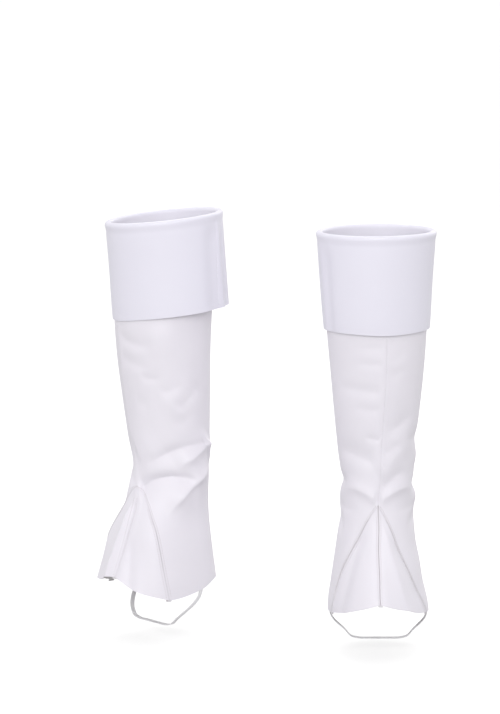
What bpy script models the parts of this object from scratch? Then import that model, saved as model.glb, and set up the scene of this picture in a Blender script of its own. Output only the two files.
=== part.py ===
"""Pair of boot tops in white faux leather, in the hollow form they keep on the leg.

Each one is a leg tube of two panels with a seam at the front and the back, a godet of two halves let into
the front below the ankle, a deep cuff turned down over the top, and a braided elastic strap under the foot.
Metres, +Z up. The wearer faces -Y and their left is +X. The origin is midway between the two legs at the
height where the calves hold the pair, so a place is worked out from the ground and then let down by HOLD.
"around" is the angle about a leg from its front seam, towards the wearer's left.
"""
import math

import bmesh
import bpy
import numpy as np

# ---- driving dimensions -------------------------------------------------------------------------------------
HOLD = 0.400                 # height of the origin above the ground
WALL = 0.0012                # vinyl on its knitted backing
SEAM = 0.0003                # room left between two pieces sewn edge to edge

RIM = {"left": 0.4960, "right": 0.5045}      # top of the rolled rim above the ground
CUFF_DEPTH = 0.1142                          # from the rim down to the cuff's edge
CUFF_DIP = 0.0015                            # how much lower the edge is at the front
CUFF_RETURN = 0.016                          # how far the cuff goes down inside, to the leg panels
CUFF_STAND = 0.0060                          # how far the cuff stands off the leg at its roll
ROLL_HEIGHT = 0.0042
CUFF_CLOSES = 131                            # degrees from the front to the cuff's own seam, on the inner side

STRAP_WIDTH = 0.0060
STRAP_THICK = 0.0014
STRAP_AROUND = 88                            # degrees from the front to each of its ends
STRAP_UP = 0.012                             # how far its ends go up inside the hem
STRAP_ROOM = 0.0010                          # between its ends and the wall's flat facets
STRAP_STEPS = 32
# The strap under the foot, from the middle out to the edge of the sole: how far out from the ankle's centre,
# how far ahead of it and how high above the ground.
STRAP_UNDER = ((0.0000, 0.0310, 0.0157), (0.0120, 0.0310, 0.0157), (0.0240, 0.0310, 0.0160),
               (0.0335, 0.0300, 0.0184), (0.0385, 0.0285, 0.0235))

# ---- the legs' sections: one row for each level -------------------------------------------------------------
# front, back and side are how far the tube reaches from its centre; turn swings the front seam towards the
# wearer's left, in degrees; tilt is how much a level rises for each metre towards +X.
SECTION_COLUMNS = ("height", "centre_x", "centre_y", "front", "back", "side", "turn", "tilt")
SECTIONS = {
    "left": (
        (0.030, 0.1288, 0.000, 0.108, 0.054, 0.0606, 0, 0.00),
        (0.055, 0.1276, 0.000, 0.098, 0.051, 0.0590, 0, 0.00),
        (0.080, 0.1263, 0.000, 0.088, 0.048, 0.0544, 0, 0.00),
        (0.105, 0.1260, 0.000, 0.077, 0.046, 0.0506, 0, 0.00),
        (0.130, 0.1252, 0.000, 0.066, 0.045, 0.0464, 0, 0.00),
        (0.155, 0.1258, 0.000, 0.056, 0.045, 0.0440, 0, 0.00),
        (0.180, 0.1260, 0.000, 0.051, 0.047, 0.0440, -1, 0.00),
        (0.205, 0.1260, -0.001, 0.050, 0.049, 0.0430, 1, 0.00),
        (0.240, 0.1245, -0.002, 0.050, 0.050, 0.0455, 4, 0.00),
        (0.280, 0.1247, -0.003, 0.052, 0.052, 0.0498, 6, 0.00),
        (0.330, 0.1248, -0.004, 0.055, 0.055, 0.0546, 8, 0.00),
        (0.380, 0.1240, -0.006, 0.058, 0.058, 0.0585, 9, 0.01),
        (0.440, 0.1229, -0.006, 0.061, 0.061, 0.0612, 10, 0.01),
        (0.500, 0.1227, -0.006, 0.064, 0.064, 0.0637, 10, 0.01),
    ),
    "right": (
        (0.042, -0.1190, 0.070, 0.110, 0.052, 0.0588, -46, 0.00),
        (0.067, -0.1190, 0.070, 0.099, 0.051, 0.0572, -46, 0.00),
        (0.092, -0.1190, 0.070, 0.088, 0.0485, 0.0535, -46, 0.00),
        (0.117, -0.1190, 0.070, 0.077, 0.046, 0.0500, -46, 0.00),
        (0.142, -0.1190, 0.070, 0.066, 0.045, 0.0460, -46, 0.00),
        (0.167, -0.1190, 0.070, 0.056, 0.045, 0.0440, -48, 0.00),
        (0.187, -0.1190, 0.070, 0.051, 0.046, 0.0430, -54, 0.00),
        (0.210, -0.1190, 0.070, 0.048, 0.048, 0.0430, -62, 0.00),
        (0.245, -0.1219, 0.074, 0.050, 0.050, 0.0470, -65, 0.00),
        (0.285, -0.1244, 0.076, 0.0528, 0.0528, 0.0510, -65, 0.02),
        (0.340, -0.1274, 0.077, 0.0562, 0.0562, 0.0555, -64, 0.06),
        (0.390, -0.1278, 0.078, 0.0588, 0.0588, 0.0585, -67, 0.13),
        (0.450, -0.1270, 0.079, 0.0613, 0.0613, 0.0608, -68, 0.125),
        (0.510, -0.1266, 0.080, 0.0642, 0.0642, 0.0642, -68, 0.10),
    ),
}

# ---- edges: degrees from the front, then the hem's height above the ground there, towards the wearer's left
# and towards their right ------------------------------------------------------------------------------------
HEM = {
    "left": ((0, 0.070, 0.070), (30, 0.061, 0.061), (60, 0.050, 0.050), (85, 0.044, 0.044),
             (110, 0.045, 0.045), (140, 0.050, 0.050), (180, 0.052, 0.052)),
    "right": ((0, 0.081, 0.081), (15, 0.075, 0.0765), (30, 0.066, 0.071), (45, 0.058, 0.0645),
              (60, 0.054, 0.060), (75, 0.056, 0.059), (90, 0.061, 0.061), (110, 0.067, 0.067),
              (140, 0.068, 0.068), (180, 0.066, 0.066)),
}
# The arched seam between a godet half and its leg panel, from the point at the front down to the hem, which
# sets its last height.
ARCH = {
    ("left", "inner"): (
        (0, 0.1785), (10.5, 0.168), (21, 0.156), (34, 0.139), (46.5, 0.119), (59, 0.093), (71, 0.048)),
    ("left", "outer"): (
        (0, 0.1785), (8, 0.167), (18, 0.151), (30, 0.131), (43, 0.107), (56, 0.082), (74, 0.046)),
    ("right", "inner"): (
        (0, 0.1830), (10, 0.179), (19, 0.170), (29, 0.155), (40, 0.134), (49, 0.105), (60, 0.054)),
    ("right", "outer"): (
        (0, 0.1830), (12, 0.176), (24, 0.165), (36, 0.148), (47, 0.126), (56, 0.098), (64, 0.0545)),
}

# ---- the cuffs' flaps: how far the lower edge stands off the leg, at least and at most, and the side towards
# which it stands off most, in degrees; the focus narrows that side. The slant is how much lower the edge
# hangs, and towards which side.
FLAP_COLUMNS = ("least", "most", "toward")
FLAP = {"left": (0.0034, 0.0042, 0), "right": (0.0020, 0.0200, 158)}
FLAP_FOCUS = 2.8
CUFF_SLANT = {"left": (0, 0), "right": (0.0019, 140)}

# ---- folds: each runs through three places (degrees around, height), is a ridge or a trough of the stated rise,
# and dies out over the stated reach above and below its line; crisp is 0 for a round one and 1 for a sharp one;
# grow and fade are the shares of its length over which it rises from nothing and sinks to nothing again.
FOLD_COLUMNS = ("start", "middle", "end", "rise", "above", "below", "crisp", "grow", "fade")
FOLDS = {
    "left": (
        ((2, 0.182), (24, 0.1945), (74, 0.1895), 0.0028, 0.008, 0.006, 0.5, 0.1, 0.6),
        ((-2, 0.182), (-24, 0.1940), (-74, 0.1885), 0.0029, 0.008, 0.006, 0.5, 0.1, 0.6),
        ((24, 0.1735), (52, 0.172), (96, 0.176), -0.0014, 0.017, 0.005, 0.4, 0.4, 0.3),
        ((-26, 0.1735), (-56, 0.171), (-100, 0.174), -0.0015, 0.018, 0.005, 0.4, 0.4, 0.3),
        ((-3, 0.227), (-30, 0.2345), (-90, 0.241), -0.0028, 0.014, 0.009, 0.2, 0.2, 0.5),
        ((-48, 0.207), (-74, 0.203), (-140, 0.196), -0.0032, 0.008, 0.008, 0.2, 0.4, 0.3),
        ((2, 0.205), (16, 0.230), (78, 0.250), 0.0020, 0.015, 0.011, 0.5, 0.15, 0.7),
        ((38, 0.255), (62, 0.253), (112, 0.252), -0.0017, 0.009, 0.008, 0.2, 0.3, 0.3),
        ((2, 0.192), (13, 0.2045), (54, 0.2165), -0.0019, 0.008, 0.008, 0.3, 0.2, 0.4),
        ((54, 0.231), (86, 0.230), (120, 0.228), 0.0018, 0.010, 0.010, 0.0, 0.4, 0.4),
        ((60, 0.194), (90, 0.197), (134, 0.188), -0.0026, 0.008, 0.008, 0.2, 0.3, 0.4),
        ((62, 0.183), (92, 0.181), (124, 0.180), 0.0018, 0.009, 0.009, 0.0, 0.4, 0.4),
        ((-62, 0.150), (-78, 0.153), (-110, 0.160), -0.0030, 0.009, 0.009, 0.2, 0.3, 0.4),
        ((50, 0.152), (66, 0.156), (100, 0.162), -0.0024, 0.009, 0.010, 0.2, 0.3, 0.4),
        ((175, 0.212), (140, 0.204), (100, 0.214), -0.0035, 0.009, 0.009, 0.2, 0.3, 0.3),
        ((-176, 0.226), (-150, 0.220), (-118, 0.228), -0.0030, 0.009, 0.009, 0.2, 0.3, 0.3),
        ((0, 0.176), (0, 0.120), (0, 0.060), -0.0008, 0.005, 0.005, 0.0, 0.3, 0.0),
        ((-14, 0.166), (-36, 0.124), (-53, 0.058), -0.0042, 0.008, 0.010, 0.3, 0.3, 0.0),
        ((3, 0.166), (17, 0.124), (32, 0.058), 0.0034, 0.010, 0.008, 0.6, 0.3, 0.0),
        ((9, 0.164), (40, 0.112), (68, 0.046), -0.0026, 0.008, 0.008, 0.3, 0.3, 0.0),
    ),
    "right": (
        ((24, 0.2065), (66, 0.2265), (128, 0.2340), -0.0042, 0.0062, 0.017, 0.7, 0.45, 0.05),
        ((74, 0.206), (106, 0.2225), (144, 0.2365), 0.0080, 0.013, 0.009, 0.9, 0.35, 0.2),
        ((6, 0.1825), (52, 0.1968), (103, 0.1900), -0.0064, 0.0050, 0.017, 0.8, 0.08, 0.2),
        ((146, 0.2075), (92, 0.1870), (50, 0.1500), 0.0104, 0.014, 0.014, 0.9, 0.45, 0.3),
        ((-8, 0.209), (-40, 0.212), (-86, 0.208), -0.0030, 0.008, 0.010, 0.2, 0.2, 0.4),
        ((-6, 0.192), (-20, 0.180), (-38, 0.160), 0.0022, 0.010, 0.010, 0.0, 0.3, 0.4),
        ((-90, 0.200), (-122, 0.208), (-160, 0.202), -0.0034, 0.008, 0.009, 0.2, 0.3, 0.4),
        ((186, 0.214), (160, 0.206), (128, 0.212), -0.0012, 0.009, 0.009, 0.2, 0.3, 0.3),
        ((3, 0.173), (0, 0.140), (0, 0.070), -0.0022, 0.004, 0.005, 0.3, 0.2, 0.0),
        ((-3, 0.176), (-9, 0.140), (-12, 0.066), 0.0050, 0.007, 0.006, 0.9, 0.3, 0.0),
        ((-14, 0.178), (-48, 0.130), (-53, 0.056), 0.0160, 0.016, 0.022, 0.8, 0.66, 0.0),
        ((5, 0.134), (16, 0.102), (23, 0.066), -0.0036, 0.009, 0.011, 0.4, 0.4, 0.0),
        ((14, 0.168), (42, 0.118), (58, 0.050), 0.0050, 0.025, 0.014, 0.0, 0.4, 0.0),
        ((6, 0.222), (30, 0.228), (60, 0.236), 0.0015, 0.030, 0.012, 0.0, 0.2, 0.5),
        ((54, 0.284), (86, 0.289), (122, 0.292), 0.0028, 0.018, 0.030, 0.0, 0.4, 0.3),
        ((40, 0.362), (62, 0.366), (92, 0.368), 0.0020, 0.015, 0.026, 0.0, 0.4, 0.4),
    ),
}

# ---- how finely the pieces are cut up ------------------------------------------------------------------------
ARCH_TIP = 0.06              # share of the arched seam above the godet's blunt tip
ARCH_STEPS = 8               # along the rest of the arched seam
SIDE_STEPS = 7               # from the arched seam's end round to the back seam
LOWER_ROWS = 11              # in the creased part above the hem
UPPER_ROWS = 6               # in the smooth part above it
SMOOTH_FROM = 0.262          # height where the smooth part starts
GODET_STEPS = 6              # across one half of the godet
CUFF_STEPS = 30
ROLL_STEPS = 6
FLAP_STEPS = 4

PIECES = "boot tops"
VINYL_WHITE = (0.86, 0.85, 0.88)
CUFF_WHITE = (0.84, 0.83, 0.89)
ELASTIC_WHITE = (0.82, 0.81, 0.82)


# ---- the form ------------------------------------------------------------------------------------------------
def smooth(at, xs, ys):
    """A smooth curve through the rows of a table, read at the stated places."""
    xs, ys = np.asarray(xs, float), np.asarray(ys, float)
    slopes = np.gradient(ys, xs)
    row = np.clip(np.searchsorted(xs, at) - 1, 0, len(xs) - 2)
    step = xs[row + 1] - xs[row]
    t = np.clip((at - xs[row]) / step, 0, 1)
    rise = (2 * t ** 3 - 3 * t ** 2 + 1) * ys[row] + (3 * t ** 2 - 2 * t ** 3) * ys[row + 1]
    return rise + step * ((t ** 3 - 2 * t ** 2 + t) * slopes[row] + (t ** 3 - t ** 2) * slopes[row + 1])


def section(side, height):
    """The leg's section at each height, as a value for each named column."""
    rows = np.array(SECTIONS[side]).T
    return {name: smooth(height, rows[0], column) for name, column in zip(SECTION_COLUMNS, rows)}


def smooth_form(side, around, height, stand=0.0):
    """Points on the leg's form without its folds, moved out by stand."""
    cut = section(side, height)
    ahead = np.where(np.cos(around) > 0, cut["front"], cut["back"]) + stand
    sideways, forwards = (cut["side"] + stand) * np.sin(around), ahead * np.cos(around)
    turn = np.radians(cut["turn"])
    dx = sideways * np.cos(turn) + forwards * np.sin(turn)
    dy = sideways * np.sin(turn) - forwards * np.cos(turn)
    level = height - HOLD + cut["tilt"] * dx
    return np.stack([cut["centre_x"] + dx, cut["centre_y"] + dy, level], axis=-1)


def outward(side, around, height):
    """The direction that points straight out of the form."""
    turned = smooth_form(side, around + 0.01, height) - smooth_form(side, around - 0.01, height)
    raised = smooth_form(side, around, height + 0.001) - smooth_form(side, around, height - 0.001)
    normal = np.cross(turned, raised)
    return normal / np.linalg.norm(normal, axis=-1, keepdims=True)


def on_cloth(side, around, height):
    """Places laid out flat: how far round the leg and how high, both in metres."""
    cut = section(side, height)
    return np.stack([around * (cut["front"] + cut["side"]) / 2, height], axis=-1)


def ramp(value, width):
    """0 up to 1 over the stated width, and 1 all along where the width is nothing."""
    t = np.clip(value / width, 0, 1) if width else np.ones_like(value)
    return t * t * (3 - 2 * t)


def folded(side, around, height):
    """How far the folds lift the cloth off the smooth form."""
    places = on_cloth(side, around, height)
    lift = np.zeros(np.shape(height))
    for row in FOLDS[side]:
        fold = dict(zip(FOLD_COLUMNS, row))
        start, middle, end = (on_cloth(side, math.radians(fold[key][0]), fold[key][1])
                              for key in FOLD_COLUMNS[:3])
        length = math.dist(start, end)
        run = (end - start) / length
        upward = np.array([-run[1], run[0]]) * (1 if run[0] > 0 else -1)
        share = np.clip((places - start) @ run / length, 0, 1)
        at = (middle - start) @ run / length
        bow = (middle - start) @ upward / (at * (1 - at))
        gap = (places - start) @ upward - bow * share * (1 - share)
        distance = np.abs(gap) / np.hypot(1, bow * (1 - 2 * share) / length)
        reach = np.where(gap > 0, fold["above"], fold["below"])
        fades = ramp(share, fold["grow"]) * ramp(1 - share, fold["fade"])
        lift += fold["rise"] * fades * np.exp(-(distance / reach) ** (2 - 0.9 * fold["crisp"]))
    return lift


def cloth(side, around, height, depth=0.0):
    """Points on the folded cloth, or at a depth inside it."""
    lift = folded(side, around, height) - depth
    return smooth_form(side, around, height) + outward(side, around, height) * lift[..., None]


# ---- turning rows of points into solids ----------------------------------------------------------------------
def finish(name, colour, roughness):
    """The sub-part's own material."""
    material = bpy.data.materials.new(name)
    material.use_nodes = True
    shader = material.node_tree.nodes["Principled BSDF"]
    shader.inputs["Base Color"].default_value = (*colour, 1)
    shader.inputs["Roughness"].default_value = roughness
    shader.inputs["Metallic"].default_value = 0
    return material


def add_object(name, mesh, colour, roughness):
    mesh.materials.append(finish(name, colour, roughness))
    mesh.shade_smooth()
    mesh.set_sharp_from_angle(angle=math.radians(40))
    piece = bpy.data.objects.new(name, mesh)
    bpy.data.collections[PIECES].objects.link(piece)
    return piece


def lofted_wall(name, shown, hidden, colour, roughness=0.45):
    """A closed wall between its shown face and its hidden face, both given as rows of points."""
    form = bmesh.new()
    faces = [[[form.verts.new(point) for point in row] for row in face] for face in (shown, hidden)]
    rows, columns = len(shown), len(shown[0])

    def quad(a, b, c, d):
        form.faces.new((a, b, c, d))

    outer, inner = faces
    for i in range(rows - 1):
        for j in range(columns - 1):
            quad(outer[i][j], outer[i][j + 1], outer[i + 1][j + 1], outer[i + 1][j])
            quad(inner[i][j], inner[i + 1][j], inner[i + 1][j + 1], inner[i][j + 1])
    for i in range(rows - 1):
        quad(outer[i][0], outer[i + 1][0], inner[i + 1][0], inner[i][0])
        quad(outer[i + 1][-1], outer[i][-1], inner[i][-1], inner[i + 1][-1])
    for j in range(columns - 1):
        quad(outer[0][j + 1], outer[0][j], inner[0][j], inner[0][j + 1])
        quad(outer[-1][j], outer[-1][j + 1], inner[-1][j + 1], inner[-1][j])
    bmesh.ops.recalc_face_normals(form, faces=form.faces)
    mesh = bpy.data.meshes.new(name)
    form.to_mesh(mesh)
    form.free()
    return add_object(name, mesh, colour, roughness)


# ---- the pieces ----------------------------------------------------------------------------------------------
def way(side, half):
    """1 where a half lies towards the wearer's left of its front seam, and -1 towards their right."""
    return 1 if (side == "left") == (half == "outer") else -1


def hem_height(side, around):
    """Height of the hem at an angle from the front."""
    degrees, to_left, to_right = np.array(HEM[side]).T
    off = np.degrees(np.abs(around))
    return np.where(np.asarray(around) > 0, smooth(off, degrees, to_left), smooth(off, degrees, to_right))


def arch_line(side, half, share):
    """The arched seam from the point at the front, share 0, to the hem, share 1."""
    degrees, heights = np.array(ARCH[side, half]).T
    heights[-1] = hem_height(side, way(side, half) * math.radians(degrees[-1]))
    rows = np.linspace(0, 1, len(degrees))
    return np.radians(smooth(share, rows, degrees)), smooth(share, rows, heights)


def beside_arch(side, half, share, room):
    """The arched seam moved by room across its own line: up for the leg panel, down for the godet."""
    turned, height = arch_line(side, half, share)
    ahead = arch_line(side, half, np.clip(share + 0.01, 0, 1))
    behind = arch_line(side, half, np.clip(share - 0.01, 0, 1))
    radius = section(side, height)["side"]
    run, rise = (ahead[0] - behind[0]) * radius, ahead[1] - behind[1]
    length = np.hypot(run, rise)
    return turned - room * rise / length / radius, height + room * run / length


def add_leg_panel(side, half):
    """One side of the leg tube, from the arched seam and the hem up to the cuff, front seam to back seam."""
    seam = SEAM / 2
    shares = np.append(0, np.linspace(ARCH_TIP, 1, ARCH_STEPS + 1))
    arch_turn, arch_height = beside_arch(side, half, shares, seam)
    side_turn = np.linspace(arch_turn[-1], math.pi, SIDE_STEPS + 1)[1:]
    turned = np.concatenate([arch_turn, side_turn])
    bottom = np.concatenate([arch_height, hem_height(side, way(side, half) * side_turn)])
    top = RIM[side] - CUFF_RETURN - seam
    lower = np.linspace(0, 1, LOWER_ROWS + 1)[:, None]
    upper = np.linspace(0, 1, UPPER_ROWS + 1)[1:, None]
    height = np.concatenate([bottom + lower * (SMOOTH_FROM - bottom),
                             SMOOTH_FROM + upper * (top - SMOOTH_FROM) + 0 * bottom])
    room = seam / section(side, height)["side"]
    around = way(side, half) * np.clip(turned + 0 * height, room, math.pi - room)
    name = f"{side}_leg_{half}"
    return lofted_wall(name, cloth(side, around, height), cloth(side, around, height, WALL), VINYL_WHITE)


def add_godet_half(side, half):
    """One half of the godet, between the seam at the front and the arched seam, down to the hem."""
    seam = SEAM / 2
    share = np.linspace(ARCH_TIP, 1, ARCH_STEPS + 1)[:, None]
    arch_turn, arch_height = beside_arch(side, half, share, -seam)
    top = ARCH[side, half][0][1]
    middle = top + share * (hem_height(side, 0) - top)
    across = np.linspace(0, 1, GODET_STEPS + 1)
    turned = across * arch_turn
    straight = middle + across * (arch_height - middle)
    hem = hem_height(side, way(side, half) * turned[-1])
    height = straight + share ** 3 * (1 - across) * (hem - straight[-1])
    room = seam / section(side, height)["front"]
    around = way(side, half) * (turned + (1 - across) * room)
    name = f"{side}_godet_{half}"
    return lofted_wall(name, cloth(side, around, height), cloth(side, around, height, WALL), VINYL_WHITE)


def add_cuff(side):
    """The cuff: up from the leg panels inside, over the rolled rim and down outside to its own edge."""
    rim = RIM[side]
    flap = dict(zip(FLAP_COLUMNS, FLAP[side]))
    closes = way(side, "inner") * math.radians(CUFF_CLOSES)
    room = SEAM / 2 / 0.07
    around = np.linspace(closes + room, closes + 2 * math.pi - room, CUFF_STEPS + 1)
    facing = (1 + np.cos(around - math.radians(flap["toward"]))) / 2
    edge = flap["least"] + (flap["most"] - flap["least"]) * facing ** FLAP_FOCUS
    slant, low_side = CUFF_SLANT[side]
    dip = CUFF_DIP * np.maximum(np.cos(around), 0) ** 8 \
        + slant * (1 + np.cos(around - math.radians(low_side))) / 2

    def face(inset):
        """One face of the band: stand and height along its profile, for each step round the leg."""
        half_width = (CUFF_STAND + WALL) / 2 - inset
        springs = rim - ROLL_HEIGHT
        centre = (CUFF_STAND - WALL) / 2
        bend = np.linspace(0, math.pi, ROLL_STEPS + 1)
        drop = np.linspace(0, 1, FLAP_STEPS + 1)[1:]
        stand = [centre - half_width + 0 * around]
        height = [rim - CUFF_RETURN + SEAM / 2 + 0 * around]
        for angle in bend:
            stand.append(centre - half_width * math.cos(angle) + 0 * around)
            height.append(springs + (ROLL_HEIGHT - inset) * math.sin(angle) + 0 * around)
        for share in drop:
            stand.append(CUFF_STAND + share * (edge - CUFF_STAND) - inset)
            height.append(springs - share * (CUFF_DEPTH + dip - ROLL_HEIGHT))
        return smooth_form(side, around + 0 * np.array(height), np.array(height), np.array(stand))

    return lofted_wall(f"{side}_cuff", face(0.0), face(WALL), CUFF_WHITE)


def strap_half(side, half):
    """The strap's middle line from inside the hem, down to the edge of the sole and in under the foot."""
    around = way(side, half) * math.radians(STRAP_AROUND)
    heights = hem_height(side, around) + np.array([STRAP_UP, STRAP_UP / 2, 0.0])
    ends = cloth(side, around + 0 * heights, heights, WALL + STRAP_ROOM + STRAP_THICK / 2)
    out, ahead, height = np.array(STRAP_UNDER[::-1]).T
    out = way(side, half) * out
    cut = section(side, heights[-1])
    turn = math.radians(float(cut["turn"]))
    x = cut["centre_x"] + out * math.cos(turn) + ahead * math.sin(turn)
    y = cut["centre_y"] + out * math.sin(turn) - ahead * math.cos(turn)
    return np.concatenate([ends, np.stack([x, y, height - HOLD], axis=-1)])


def add_stirrup(side):
    """The strap, as a flat band that keeps its width level with the foot."""
    points = np.concatenate([strap_half(side, "inner"), strap_half(side, "outer")[-2::-1]])
    along = np.append(0, np.cumsum(np.linalg.norm(np.diff(points, axis=0), axis=1)))
    at = np.linspace(0, along[-1], STRAP_STEPS + 1)
    line = np.stack([smooth(at, along, axis) for axis in points.T], axis=-1)
    run = np.gradient(line, axis=0)
    run /= np.linalg.norm(run, axis=-1, keepdims=True)
    turn = math.radians(float(section(side, hem_height(side, 0))["turn"]))
    ahead = np.array([math.sin(turn), -math.cos(turn), 0])
    wide = ahead - run * (run @ ahead)[:, None]
    wide *= STRAP_WIDTH / 2 / np.linalg.norm(wide, axis=-1, keepdims=True)
    thick = np.cross(run, wide)
    thick *= STRAP_THICK / 2 / np.linalg.norm(thick, axis=-1, keepdims=True)
    rails = np.array([line - wide, line + wide])
    return lofted_wall(f"{side}_stirrup", rails + thick, rails - thick, ELASTIC_WHITE, 0.8)


def main():
    for old in list(bpy.data.objects):
        bpy.data.objects.remove(old)
    bpy.context.scene.collection.children.link(bpy.data.collections.new(PIECES))
    for side in ("left", "right"):
        for half in ("inner", "outer"):
            add_leg_panel(side, half)
            add_godet_half(side, half)
        add_cuff(side)
        add_stirrup(side)


main()
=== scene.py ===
# %% [markdown]
# # A pair of boot tops in white faux leather
#
# Boot tops turn a plain shoe into a tall boot. Each one is a tube of two panels sewn together down the
# front and the back, with a flared godet let into the front over the instep, a deep cuff turned down over
# the top, and an elastic strap that goes under the shoe. They are shown in the hollow form they keep on the
# leg.
#
# The solid model is loaded first as a frame that never moves. Everything made below lies in the same
# metres: the wearer faces -Y, their left is +X, and the ground they stand on is at z = -0.4. Each soft
# solid of the frame is then replaced by a finely shaped piece.

# %% Load the frame
import math

import bpy
import numpy as np
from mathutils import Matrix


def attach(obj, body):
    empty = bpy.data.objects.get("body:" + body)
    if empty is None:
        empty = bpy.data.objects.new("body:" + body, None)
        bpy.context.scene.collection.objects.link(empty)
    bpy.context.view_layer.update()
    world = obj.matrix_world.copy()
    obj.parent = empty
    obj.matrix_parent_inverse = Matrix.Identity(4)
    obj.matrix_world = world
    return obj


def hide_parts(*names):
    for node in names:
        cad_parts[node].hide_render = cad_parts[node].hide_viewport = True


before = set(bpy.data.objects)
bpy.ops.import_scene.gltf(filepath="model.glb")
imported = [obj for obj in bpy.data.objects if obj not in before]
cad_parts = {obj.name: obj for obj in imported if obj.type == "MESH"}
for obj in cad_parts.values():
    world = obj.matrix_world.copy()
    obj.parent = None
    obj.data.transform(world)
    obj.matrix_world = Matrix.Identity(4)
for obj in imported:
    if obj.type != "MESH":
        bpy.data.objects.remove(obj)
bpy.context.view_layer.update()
SIDES = ("left", "right")
HALVES = ("inner", "outer")

# %% [markdown]
# ## The form of a worn leg
#
# Cloth on a leg could be simulated, but a worn form that has to match another model exactly is easier to
# steer as a formula. A table gives the leg's section at each level: where its centre is, how far it reaches
# to the front, to the back and to each side, and how far the foot turns it. A point of the cloth is then
# named by two numbers, how far round the leg it is and how high.

# %% Sizes and the sections of both legs
HOLD = 0.400                 # height of the origin above the ground
WALL = 0.0012                # vinyl on its knitted backing
SEAM = 0.0001                # room between two pieces sewn edge to edge

SECTION_COLUMNS = ("height", "centre_x", "centre_y", "front", "back", "side", "turn", "tilt")
SECTIONS = {
    "left": (
        (0.030, 0.1288, 0.000, 0.108, 0.054, 0.0606, 0, 0.00),
        (0.055, 0.1276, 0.000, 0.098, 0.051, 0.0590, 0, 0.00),
        (0.080, 0.1263, 0.000, 0.088, 0.048, 0.0544, 0, 0.00),
        (0.105, 0.1260, 0.000, 0.077, 0.046, 0.0506, 0, 0.00),
        (0.130, 0.1252, 0.000, 0.066, 0.045, 0.0464, 0, 0.00),
        (0.155, 0.1258, 0.000, 0.056, 0.045, 0.0440, 0, 0.00),
        (0.180, 0.1260, 0.000, 0.051, 0.047, 0.0440, -1, 0.00),
        (0.205, 0.1260, -0.001, 0.050, 0.049, 0.0430, 1, 0.00),
        (0.240, 0.1245, -0.002, 0.050, 0.050, 0.0455, 4, 0.00),
        (0.280, 0.1247, -0.003, 0.052, 0.052, 0.0498, 6, 0.00),
        (0.330, 0.1248, -0.004, 0.055, 0.055, 0.0546, 8, 0.00),
        (0.380, 0.1240, -0.006, 0.058, 0.058, 0.0585, 9, 0.01),
        (0.440, 0.1229, -0.006, 0.061, 0.061, 0.0612, 10, 0.01),
        (0.500, 0.1227, -0.006, 0.064, 0.064, 0.0637, 10, 0.01),
    ),
    "right": (
        (0.042, -0.1190, 0.070, 0.110, 0.052, 0.0588, -46, 0.00),
        (0.067, -0.1190, 0.070, 0.099, 0.051, 0.0572, -46, 0.00),
        (0.092, -0.1190, 0.070, 0.088, 0.0485, 0.0535, -46, 0.00),
        (0.117, -0.1190, 0.070, 0.077, 0.046, 0.0500, -46, 0.00),
        (0.142, -0.1190, 0.070, 0.066, 0.045, 0.0460, -46, 0.00),
        (0.167, -0.1190, 0.070, 0.056, 0.045, 0.0440, -48, 0.00),
        (0.187, -0.1190, 0.070, 0.051, 0.046, 0.0430, -54, 0.00),
        (0.210, -0.1190, 0.070, 0.048, 0.048, 0.0430, -62, 0.00),
        (0.245, -0.1219, 0.074, 0.050, 0.050, 0.0470, -65, 0.00),
        (0.285, -0.1244, 0.076, 0.0528, 0.0528, 0.0510, -65, 0.02),
        (0.340, -0.1274, 0.077, 0.0562, 0.0562, 0.0555, -64, 0.06),
        (0.390, -0.1278, 0.078, 0.0588, 0.0588, 0.0585, -67, 0.13),
        (0.450, -0.1270, 0.079, 0.0613, 0.0613, 0.0608, -68, 0.125),
        (0.510, -0.1266, 0.080, 0.0642, 0.0642, 0.0642, -68, 0.10),
    ),
}


def smooth(at, xs, ys):
    """A smooth curve through the rows of a table, read at the stated places."""
    xs, ys = np.asarray(xs, float), np.asarray(ys, float)
    slopes = np.gradient(ys, xs)
    row = np.clip(np.searchsorted(xs, at) - 1, 0, len(xs) - 2)
    step = xs[row + 1] - xs[row]
    t = np.clip((at - xs[row]) / step, 0, 1)
    rise = (2 * t ** 3 - 3 * t ** 2 + 1) * ys[row] + (3 * t ** 2 - 2 * t ** 3) * ys[row + 1]
    return rise + step * ((t ** 3 - 2 * t ** 2 + t) * slopes[row] + (t ** 3 - t ** 2) * slopes[row + 1])


def section(side, height):
    """The leg's section at each height, as a value for each named column."""
    rows = np.array(SECTIONS[side]).T
    return {name: smooth(height, rows[0], column) for name, column in zip(SECTION_COLUMNS, rows)}


def half_width(side, height):
    """Half of the leg's width at each height."""
    return section(side, height)["side"]


def turned_with_leg(cut, sideways, forwards):
    """How far along X and Y a place is from the leg's centre, from how far it is beside and ahead of it."""
    cos, sin = np.cos(np.radians(cut["turn"])), np.sin(np.radians(cut["turn"]))
    return sideways * cos + forwards * sin, sideways * sin - forwards * cos


def smooth_form(side, around, height, stand=0.0):
    """Points on the leg's form without its folds, moved out by stand."""
    cut = section(side, height)
    ahead = np.where(np.cos(around) > 0, cut["front"], cut["back"]) + stand
    dx, dy = turned_with_leg(cut, (cut["side"] + stand) * np.sin(around), ahead * np.cos(around))
    level = height - HOLD + cut["tilt"] * dx
    return np.stack([cut["centre_x"] + dx, cut["centre_y"] + dy, level], axis=-1)


TURN_STEP, RISE_STEP = 0.01, 0.001           # small steps round the leg and up it, to feel its slope


def outward(side, around, height):
    """The direction that points straight out of the form."""
    turned = smooth_form(side, around + TURN_STEP, height) - smooth_form(side, around - TURN_STEP, height)
    raised = smooth_form(side, around, height + RISE_STEP) - smooth_form(side, around, height - RISE_STEP)
    normal = np.cross(turned, raised)
    return normal / np.linalg.norm(normal, axis=-1, keepdims=True)


print("calf", np.round(smooth_form("left", 0.0, np.array(0.38)), 3), "on the left leg's front")

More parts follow.
